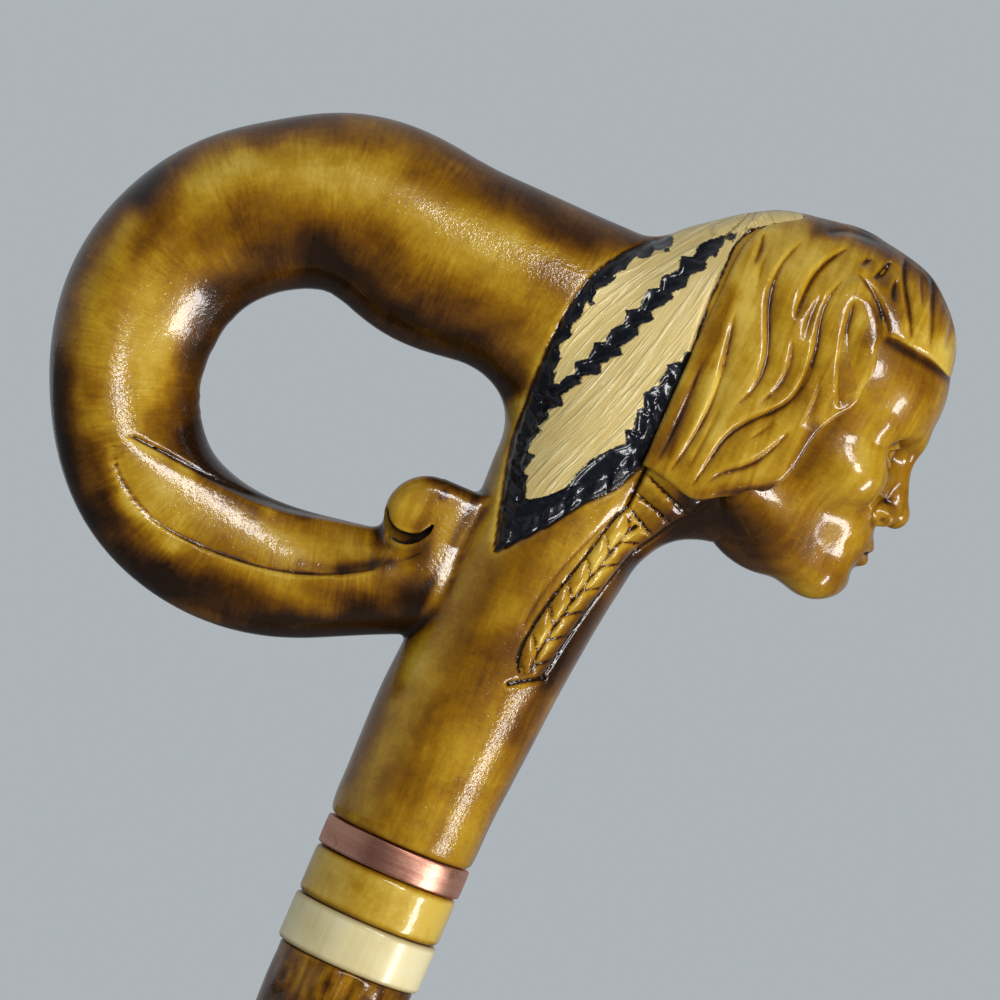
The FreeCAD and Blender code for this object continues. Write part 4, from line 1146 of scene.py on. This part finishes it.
def fineProfile(profile, step):
    # the profile with points added so that no run is longer than the step
    counts = np.maximum(1, np.ceil(np.linalg.norm(np.diff(profile, axis=0), axis=1) / step)).astype(int)
    return np.vstack([start + (end - start) * np.arange(count)[:, None] / count
                      for start, end, count in zip(profile[:-1], profile[1:], counts)] + [profile[-1:]])


def turnedSkin(profile, count, shape=None):
    # a profile carried round the stick's axis: one row of points for each of its places; shape changes the
    # radius by turn and height. A profile that starts and ends on the axis gets poles, any other is joined
    # to its own start
    turn = np.linspace(0, 2 * np.pi, count, endpoint=False)
    poles = profile[0, 0] < 1e-6
    body = profile[1:-1] if poles else profile
    radius = np.repeat(body[:, :1], count, axis=1)
    height = np.repeat(body[:, 1:], count, axis=1)
    if shape is not None:
        radius = radius + shape(turn[None, :], height, radius)
    points = np.stack([radius * np.cos(turn), radius * np.sin(turn), height], 2).reshape(-1, 3)
    rows, around = len(body), np.arange(count)
    first = np.arange(rows - 1 if poles else rows)[:, None]
    second, later = (first + 1) % rows, (around + 1) % count
    quads = np.stack(np.broadcast_arrays(first * count + around, first * count + later,
                                         second * count + later, second * count + around), 2).reshape(-1, 4)
    caps = np.zeros((0, 3), int)
    if poles:
        bottom, top = len(points), len(points) + 1
        points = np.vstack([points, [0, 0, profile[0, 1]], [0, 0, profile[-1, 1]]])
        final = (rows - 1) * count
        caps = np.vstack([np.stack([np.full(count, bottom), later, around], 1),
                          np.stack([final + around, final + later, np.full(count, top)], 1)])
    return points, quads, caps


def turnedPiece(name, profile, count, body, material, shape=None, marks=None, sharpAt=40):
    points, quads, caps = turnedSkin(profile, count, shape)
    given = marks(points) if marks else None
    piece = makePiece(name, points, quads, body, material, given, sharpAt=sharpAt, cap=caps)
    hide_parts(name)


def wander(turn, height, seed, size):
    # slow smooth unevenness, from a few waves of different length
    total = 0
    for k in range(1, 6):
        phase = math.sin(seed * 12.9 + k * 78.2) * 43.7
        wave = np.sin(k * turn + phase + height * 0.11 * math.sin(k * 3.1 + seed))
        total = total + wave * np.cos(height * (0.07 + 0.05 * k) + phase * 1.7) / k
    return size * total


ringSettings = {
    "copper": {"radius": 14.25, "bore": 10.25, "ease": 0.35, "crown": 0.06},
    "collar": {"radius": 14.1, "bore": 10.25, "ease": 1.5},
    "pale": {"radius": 14.2, "bore": 10.25, "ease": 1.0},
}


def ringProfile(node, sizes):
    low, high = heights(node)
    bore, radius, rim = sizes["bore"], sizes["radius"], sizes["ease"]
    corners = [(bore, high, 0.25), (bore, low, 0.25), (radius, low, rim), (radius, high, rim)]
    profile = easedProfile(corners, 7)
    return fineProfile(np.vstack([profile, profile[:1]]), 0.5)[:-1]


copperStops = ((0.3, (0.66, 0.28, 0.18)), (0.5, (0.88, 0.44, 0.31)), (0.7, (0.97, 0.60, 0.46)))
paleStops = ((0.3, (0.76, 0.62, 0.29)), (0.48, (0.91, 0.79, 0.42)), (0.7, (0.97, 0.88, 0.56)))


def brushedCopper():
    # copper sheet, brushed round the stick, with darker handling marks and a darker band down its front and back,
    # which is a painted reflection of the dim room
    material, tree, shader = newMaterial("brushedCopper", Metallic=0.85)
    place = objectPlace(tree)
    lines = noise(tree, objectPlace(tree, (40, 40, 5200)), 1, 4, 0.7)
    wide = noise(tree, objectPlace(tree, (60, 60, 900)), 1, 3, 0.6)
    marks = noise(tree, place, 260, 4, 0.65)
    tone = plus(tree, times(tree, lines, 0.6), times(tree, wide, 0.4))
    handled = spread(tree, marks, 0.56, 0.7, 0, 0.5)
    colour = mixColour(tree, handled, rampColour(tree, tone, copperStops), (0.30, 0.11, 0.075, 1))
    # a darker band where the ring faces the camera and on its far side: a painted reflection of the dim room
    across = addNode(tree, "SeparateXYZ", {0: place}).outputs[0]
    offMiddle = maths(tree, "ABSOLUTE", plus(tree, across, 0.0004))
    colour = mixColour(tree, spread(tree, offMiddle, 0.0068, 0.0036, 0, 0.55), colour, (0.40, 0.15, 0.10, 1))
    tree.links.new(colour, shader.inputs["Base Color"])
    tree.links.new(spread(tree, lines, 0.25, 0.75, 0.3, 0.44), shader.inputs["Roughness"])
    bumpInto(tree, shader, timesPlus(tree, marks, 0.5, tone), 0.00005)
    return material


def paleWood():
    # unstained boxwood or maple: cream, with faint upright grain and small pores
    material, tree, shader = newMaterial("paleWood", **{"Coat Weight": 0.5, "Coat Roughness": 0.16})
    grain = noise(tree, objectPlace(tree, (520, 520, 30)), 1, 5, 0.6, 0.3)
    cloud = noise(tree, objectPlace(tree), 90, 3)
    tone = plus(tree, times(tree, grain, 0.35), times(tree, cloud, 0.65))
    rim, worn = spread(tree, readMark(tree, "rim"), 0.0, 1.1, 0.75, 0.0), (0.36, 0.23, 0.07, 1)
    tree.links.new(mixColour(tree, rim, rampColour(tree, tone, paleStops), worn), shader.inputs["Base Color"])
    tree.links.new(spread(tree, cloud, 0.3, 0.7, 0.3, 0.42), shader.inputs["Roughness"])
    bumpInto(tree, shader, grain, 0.00003)
    return material


def ringMarks(node, base):
    # stain gathers at both rims of a ring
    low, high = heights(node)

    def marks(points):
        x, y, z = points.T
        turn, rim = np.arctan2(y, x), np.minimum(z - low, high - z)
        stainandlight = base + 0.42 * np.exp(-(np.maximum(rim, 0) / 0.8) ** 2) - 0.05 * np.cos(2.2 * turn + 0.6)
        flat = np.zeros(len(points))
        return {"stainandlight": stainandlight, "along": z, "around": turn * 14, "hollow": flat, "wide": flat,
                "rim": np.where(np.hypot(x, y) > 12.5, rim, 0)}
    return marks


def copperShape(turn, height, radius):
    # the outer face is slightly crowned and dented
    crown = ringSettings["copper"]["crown"] * np.cos(height * 0.55)
    return np.where(radius > 13, crown + wander(turn * 3, height, 3, 0.012), 0)


print("turning the rings")
turnedPiece("copper_ring", ringProfile("copper_ring", ringSettings["copper"]), 160, "copper_ring",
            brushedCopper(), copperShape)
turnedPiece("stained_collar", ringProfile("stained_collar", ringSettings["collar"]), 140, "shaft",
            collarMaterial, marks=ringMarks("stained_collar", 0.06))
turnedPiece("pale_ring", ringProfile("pale_ring", ringSettings["pale"]), 140, "shaft",
            paleWood(), marks=ringMarks("pale_ring", 0.2))


shaftSettings = {
    "foot": 9.5, "footLength": 62.0, "top": 13.5, "spigot": 10.15, "pocket": 7.15, "way": 5.05,
    "pocketDepth": 21.0, "wayDepth": 24.0,
    "lump": 0.32, "knots": 46, "knotSize": (3.2, 6.5), "knotRise": 0.75, "knotRadius": 12.0,
    # knots close under the rings: turn, height under the shaft's shoulder, radius, rise
    "nearKnots": ((4.55, -0.4, 3.2, 1.1), (5.15, 0.4, 3.6, 1.2), (3.85, 1.5, 2.8, 1.0), (5.75, 3.0, 3.0, 0.9),
                  (4.1, 11, 4.2, 1.0), (0.9, 2, 3.4, 0.8), (2.2, 5, 4.0, 0.8)),
}


def knotTable():
    # places and sizes of the cut-back twigs up the shaft: turn, height, radius, rise; a golden-angle walk
    # with seeded shifts, dense under the rings
    s, random = shaftSettings, np.random.default_rng(7)
    low, high = heights("shaft")[0] + s["footLength"] + 16, heights("pale_ring")[0] - 4
    order, goldenTurn = np.arange(s["knots"]), 2.39996
    height = high - (high - low) * (order / s["knots"]) ** 1.15 + random.uniform(-4, 4, s["knots"])
    turn = (order * goldenTurn + random.uniform(-0.35, 0.35, s["knots"])) % (2 * np.pi)
    size = random.uniform(*s["knotSize"], s["knots"])
    rise = s["knotRise"] * random.uniform(0.5, 1.0, s["knots"])
    near = np.array(s["nearKnots"])
    near[:, 1] = high - near[:, 1]
    return np.vstack([near, np.stack([turn, np.minimum(height, high), size, rise], 1)])


knots = knotTable()


def knotsAt(turn, height, radius):
    # how far each knot's dome rises at a place, and how near the nearest knot's eye is (0 to 1)
    rise = eye = np.zeros(np.broadcast(turn, height).shape)
    for knotTurn, knotHeight, size, high in knots:
        arc = (turn - knotTurn + np.pi) % (2 * np.pi) - np.pi
        gap = np.sqrt((arc * radius) ** 2 + ((height - knotHeight) * 0.6) ** 2) / size
        rise = np.maximum(rise, high * (np.exp(-(gap / 0.75) ** 2) - 0.45 * np.exp(-(gap / 0.26) ** 2)))
        eye = np.maximum(eye, np.exp(-(gap / 0.33) ** 2) + 0.35 * np.exp(-((gap - 0.8) / 0.2) ** 2))
    return rise, eye


def shaftShape(turn, height, radius):
    # carved facets, slow bends and knots on the tapered part; nothing on the foot, the shoulder and the spigot
    s = shaftSettings
    low, high = heights("shaft")[0] + s["footLength"], heights("pale_ring")[0]
    free = ease(low + 2, low + 14, height) * (radius > s["foot"] - 0.05) * (height < high - 0.05)
    rim = ease(high - 0.2, high - 1.6, height)
    rise = knotsAt(turn, height, s["knotRadius"])[0]
    slices = np.abs(np.sin(turn * 3.5 + height * 0.035 + 0.8 * np.sin(height * 0.11)))
    lumps = rim * (rise + wander(turn, height, 5, s["lump"] * 0.55) - 0.35)
    return free * (lumps - s["lump"] * 0.8 * (1 - slices) ** 2)


def shaftProfile():
    s = shaftSettings
    low, top = heights("shaft")
    shoulder = heights("pale_ring")[0] - 0.1
    outside = easedProfile([(0, low, 0), (s["foot"], low, 1.0), (s["foot"], low + s["footLength"], 6),
                            (s["top"], shoulder, 0.9), (s["spigot"], shoulder, 0)], 6)
    pocketFloor, wayFloor = top - s["pocketDepth"], top - s["wayDepth"]
    inside = easedProfile([(s["spigot"], shoulder, 0), (s["spigot"], top, 0.4), (s["pocket"], top, 0.2),
                           (s["pocket"], pocketFloor, 0), (s["way"], pocketFloor, 0), (s["way"], wayFloor, 0),
                           (0, wayFloor, 0)], 5)
    return fineProfile(np.vstack([outside, inside[1:]]), 1.25)


def shaftMarks(points):
    # slow changes of tone, dark knots' eyes, and bare wood on the spigot
    turn, height = np.arctan2(points[:, 1], points[:, 0]) % (2 * np.pi), points[:, 2]
    rise, eye = knotsAt(turn, height, shaftSettings["knotRadius"])
    stainandlight = 0.66 + wander(turn, height * 1.6, 11, 0.1) + 0.5 * np.clip(eye, 0, 1) - 0.1 * rise
    spigot = (np.hypot(points[:, 0], points[:, 1]) < 10.2) & (height > heights("pale_ring")[0] - 0.2)
    return {"stainandlight": np.where(spigot, 0.12, stainandlight), "along": height, "around": turn * 12,
            "hollow": np.clip(-rise, 0, 1) * 0.2, "wide": np.zeros(len(points))}


print("turning the shaft")
shaftMaterial = varnished("varnishedShaft", bristle=0.3, grain=1.0, bump=0.00014)[0]
turnedPiece("shaft", shaftProfile(), 132, "shaft", shaftMaterial, shaftShape, shaftMarks)


tipSettings = {
    "foot": 18.0, "footHeight": 8.0, "mouth": 13.25, "bead": 1.2, "beadHeight": 4.0, "bore": 9.55,
    "boreDepth": 33.0, "ease": 1.4, "pad": 4.0, "groove": 2.2, "rib": 2.4, "deep": 1.6, "steps": 3,
}


def tipProfile():
    # tread rings on the sole, a thick foot, a ribbed cone and a rolled mouth, then the bore
    t = tipSettings
    low, high = heights("rubber_tip")
    corners, radius = [(0, low, 0)], t["pad"]
    while radius + t["groove"] + t["rib"] < t["foot"] - t["ease"]:
        far, deep = radius + t["groove"], low + t["deep"]
        corners += [(radius, low, 0.3), (radius, deep, 0.3), (far, deep, 0.3), (far, low, 0.3)]
        radius = far + t["rib"]
    corners += [(t["foot"], low, t["ease"]), (t["foot"], low + t["footHeight"], t["ease"])]
    cone = (t["foot"] + t["mouth"]) / 2
    corners += [(cone + 0.4, low + t["footHeight"] + 0.6, 1.0)]
    beadLow = high - t["beadHeight"]
    coneLow = low + t["footHeight"] + 2
    for step in range(t["steps"]):
        share = (step + 0.5) / t["steps"]
        middle, height = cone + (t["mouth"] - cone) * share, coneLow + (beadLow - coneLow) * share
        corners += [(middle + 0.12, height - 1.1, 0.3), (middle - 0.55, height - 0.7, 0.3),
                    (middle - 0.6, height + 0.7, 0.3), (middle, height + 1.1, 0.3)]
    bead, bore, floor = t["mouth"] + t["bead"], t["bore"], high - t["boreDepth"]
    corners += [(t["mouth"], beadLow, 0.5), (bead, beadLow + 0.6, 0.9), (bead, high, 0.9),
                (bore + 0.6, high, 0.4), (bore, high - 0.7, 0.4), (bore, floor, 0.3), (0, floor, 0)]
    return fineProfile(easedProfile(corners, 5), 1.0)


def tipRubber():
    # black moulded rubber, greyed and scuffed near the floor
    material, tree, shader = newMaterial("tipRubber", **{"Specular IOR Level": 0.4})
    place = objectPlace(tree)
    fine, scuff = noise(tree, place, 1800, 3), noise(tree, objectPlace(tree, (90, 90, 400)), 1, 5, 0.7)
    height = addNode(tree, "SeparateXYZ", {0: place}).outputs[2]
    worn = times(tree, spread(tree, height, 0.014, 0.0), spread(tree, scuff, 0.45, 0.7))
    colour = rampColour(tree, scuff, ((0.3, (0.012, 0.012, 0.013)), (0.7, (0.028, 0.027, 0.026))))
    tree.links.new(mixColour(tree, worn, colour, (0.13, 0.125, 0.12, 1)), shader.inputs["Base Color"])
    tree.links.new(spread(tree, scuff, 0.3, 0.7, 0.55, 0.75), shader.inputs["Roughness"])
    bumpInto(tree, shader, timesPlus(tree, scuff, 0.6, fine), 0.0001)
    return material


print("moulding the tip")
turnedPiece("rubber_tip", tipProfile(), 120, "rubber_tip", tipRubber())


studSettings = {"radius": 5.0, "depth": 0.85, "pitch": 1.5, "point": 1.3, "flank": 2.6, "crest": 0.3}


def cutSteel(name, colour, roughness):
    # machined metal: turning lines round it, a few darker spots
    material, tree, shader = newMaterial(name, Metallic=1.0)
    lines = noise(tree, objectPlace(tree, (30, 30, 6000)), 1, 3, 0.6)
    spots = noise(tree, objectPlace(tree), 700, 4, 0.6)
    dark, light = (tuple(part * share for part in colour) for share in (0.72, 1.06))
    tree.links.new(rampColour(tree, spots, ((0.35, dark), (0.65, light))), shader.inputs["Base Color"])
    tree.links.new(spread(tree, lines, 0.3, 0.7, roughness - 0.06, roughness + 0.1), shader.inputs["Roughness"])
    bumpInto(tree, shader, timesPlus(tree, spots, 0.4, lines), 0.00003)
    return material


def studShape(turn, height, radius):
    # one thread: its depth is a rounded wave of the height less one pitch for each turn, fading out at the points
    s = studSettings
    wave = ((height - heights("joining_stud")[0]) / s["pitch"] - turn / (2 * np.pi)) % 1
    tooth = np.clip(np.abs(wave - 0.5) * s["flank"] - s["crest"], 0, 1)
    return -s["depth"] * tooth * (radius > s["radius"] - 0.02)


def studProfile():
    (low, high), radius, point = heights("joining_stud"), studSettings["radius"], studSettings["point"]
    corners = [(0, low), (radius - point, low), (radius, low + point), (radius, high - point),
               (radius - point, high), (0, high)]
    return fineProfile(np.array(corners), 0.15)


print("cutting the joint")
turnedPiece("joining_stud", studProfile(), 56, "handle", cutSteel("studSteel", (0.55, 0.55, 0.54), 0.3),
            studShape, sharpAt=60)
# the insert and the washer keep their own solids
for name, material in (("threaded_insert", cutSteel("insertBrass", (0.72, 0.5, 0.2), 0.28)),
                       ("tip_washer", cutSteel("washerSteel", (0.5, 0.5, 0.5), 0.38))):
    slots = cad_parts[name].data.materials
    slots.clear()
    slots.append(material)


def lookFrom():
    # telephoto view square to the side of the handle, with the stick leaning in the frame
    view = {"middle": (-8.0, 0.0, 69.2), "width": 187.6, "distance": 1000.0, "lean": 23.2, "sensor": 36.0}
    data = bpy.data.cameras.new("view")
    data.sensor_width, data.sensor_fit = view["sensor"], "HORIZONTAL"
    data.lens = view["sensor"] * view["distance"] / view["width"]
    data.clip_end = 20
    camera = bpy.data.objects.new("view", data)
    bpy.context.scene.collection.objects.link(camera)
    middle = Vector((np.array(view["middle"]) + ringMiddle) / 1000)
    place = Matrix.Translation(middle + Vector((0, -view["distance"] / 1000, 0)))
    lean = Matrix.Rotation(math.radians(view["lean"]), 4, "Z")
    camera.matrix_world = place @ Matrix.Rotation(math.pi / 2, 4, "X") @ lean
    bpy.context.scene.camera = camera


def softLight(name, turn, height, size, glow, distance=1.1):
    # a window round the handle: turn is its angle in the side view, from the face's side upwards, and
    # height its angle above that plane
    turn, height = math.radians(turn), math.radians(height)
    aim = Vector((0, 0, (ringMiddle[2] + 70) / 1000))
    towards = Vector((math.cos(height) * math.cos(turn), -math.sin(height), math.cos(height) * math.sin(turn)))
    data = bpy.data.lights.new(name, "AREA")
    data.shape, data.size, data.size_y = "RECTANGLE", size[0], size[1]
    data.energy = glow * math.pi * size[0] * size[1]
    lamp = bpy.data.objects.new(name, data)
    bpy.context.scene.collection.objects.link(lamp)
    lamp.location = aim + towards * distance
    side = towards.cross(Vector((0, -1, 0))).normalized()
    faceOut = Matrix((side, towards.cross(side), towards)).transposed().to_4x4()
    lamp.matrix_world = Matrix.Translation(lamp.location) @ faceOut


def stageAround():
    # pale floor, painted dark where it is seen in reflections, and a room that is dim behind the camera, brighter
    # behind and to the left of the stick and plain pale where the camera sees it
    room = {"floorHalf": 3.0, "floorShade": (0.12, 0.12, 0.12, 1), "floor": (0.64, 0.66, 0.68, 1),
            "backdrop": (0.42, 0.455, 0.48, 1), "air": (0.90, 0.95, 1.0, 1),
            "dim": 0.10, "bright": 0.58, "leftShare": 0.8, "mirrored": 0.48}
    half = room["floorHalf"]
    floor = bpy.data.meshes.new("floor")
    floor.from_pydata([(-half, -half, 0), (half, -half, 0), (half, half, 0), (-half, half, 0)], [], [(0, 1, 2, 3)])
    paint, tree, shader = newMaterial("floorPaint", Roughness=0.85)
    mirrored = addNode(tree, "LightPath").outputs["Is Glossy Ray"]
    tree.links.new(mixColour(tree, mirrored, room["floor"], room["floorShade"]), shader.inputs["Base Color"])
    floor.materials.append(paint)
    floorPiece = bpy.data.objects.new("floor", floor)
    bpy.context.scene.collection.objects.link(floorPiece)
    world = bpy.data.worlds.new("room")
    bpy.context.scene.world = world
    world.use_nodes = True
    tree = world.node_tree
    turned = addNode(tree, "SeparateXYZ", {0: addNode(tree, "TexCoord").outputs["Generated"]}).outputs
    away = timesPlus(tree, turned[0], -room["leftShare"], turned[1])
    glow = spread(tree, away, -0.5, 0.5, room["dim"], room["bright"])
    paths = addNode(tree, "LightPath").outputs
    seen = paths["Is Camera Ray"]
    glow = times(tree, glow, spread(tree, paths["Is Glossy Ray"], 0, 1, 1, room["mirrored"]))
    shade = tree.nodes["Background"]
    tree.links.new(mixColour(tree, seen, room["air"], room["backdrop"]), shade.inputs["Color"])
    tree.links.new(maths(tree, "MAXIMUM", glow, seen), shade.inputs["Strength"])


stageAround()
softLight("rightWindow", -17, 23, (0.62, 0.2), 15)
softLight("upperWindow", 27, 57, (0.26, 0.22), 17)
softLight("topWindow", 66, 60, (0.38, 0.2), 15)
lookFrom()
bpy.context.scene.view_settings.view_transform = "Standard"
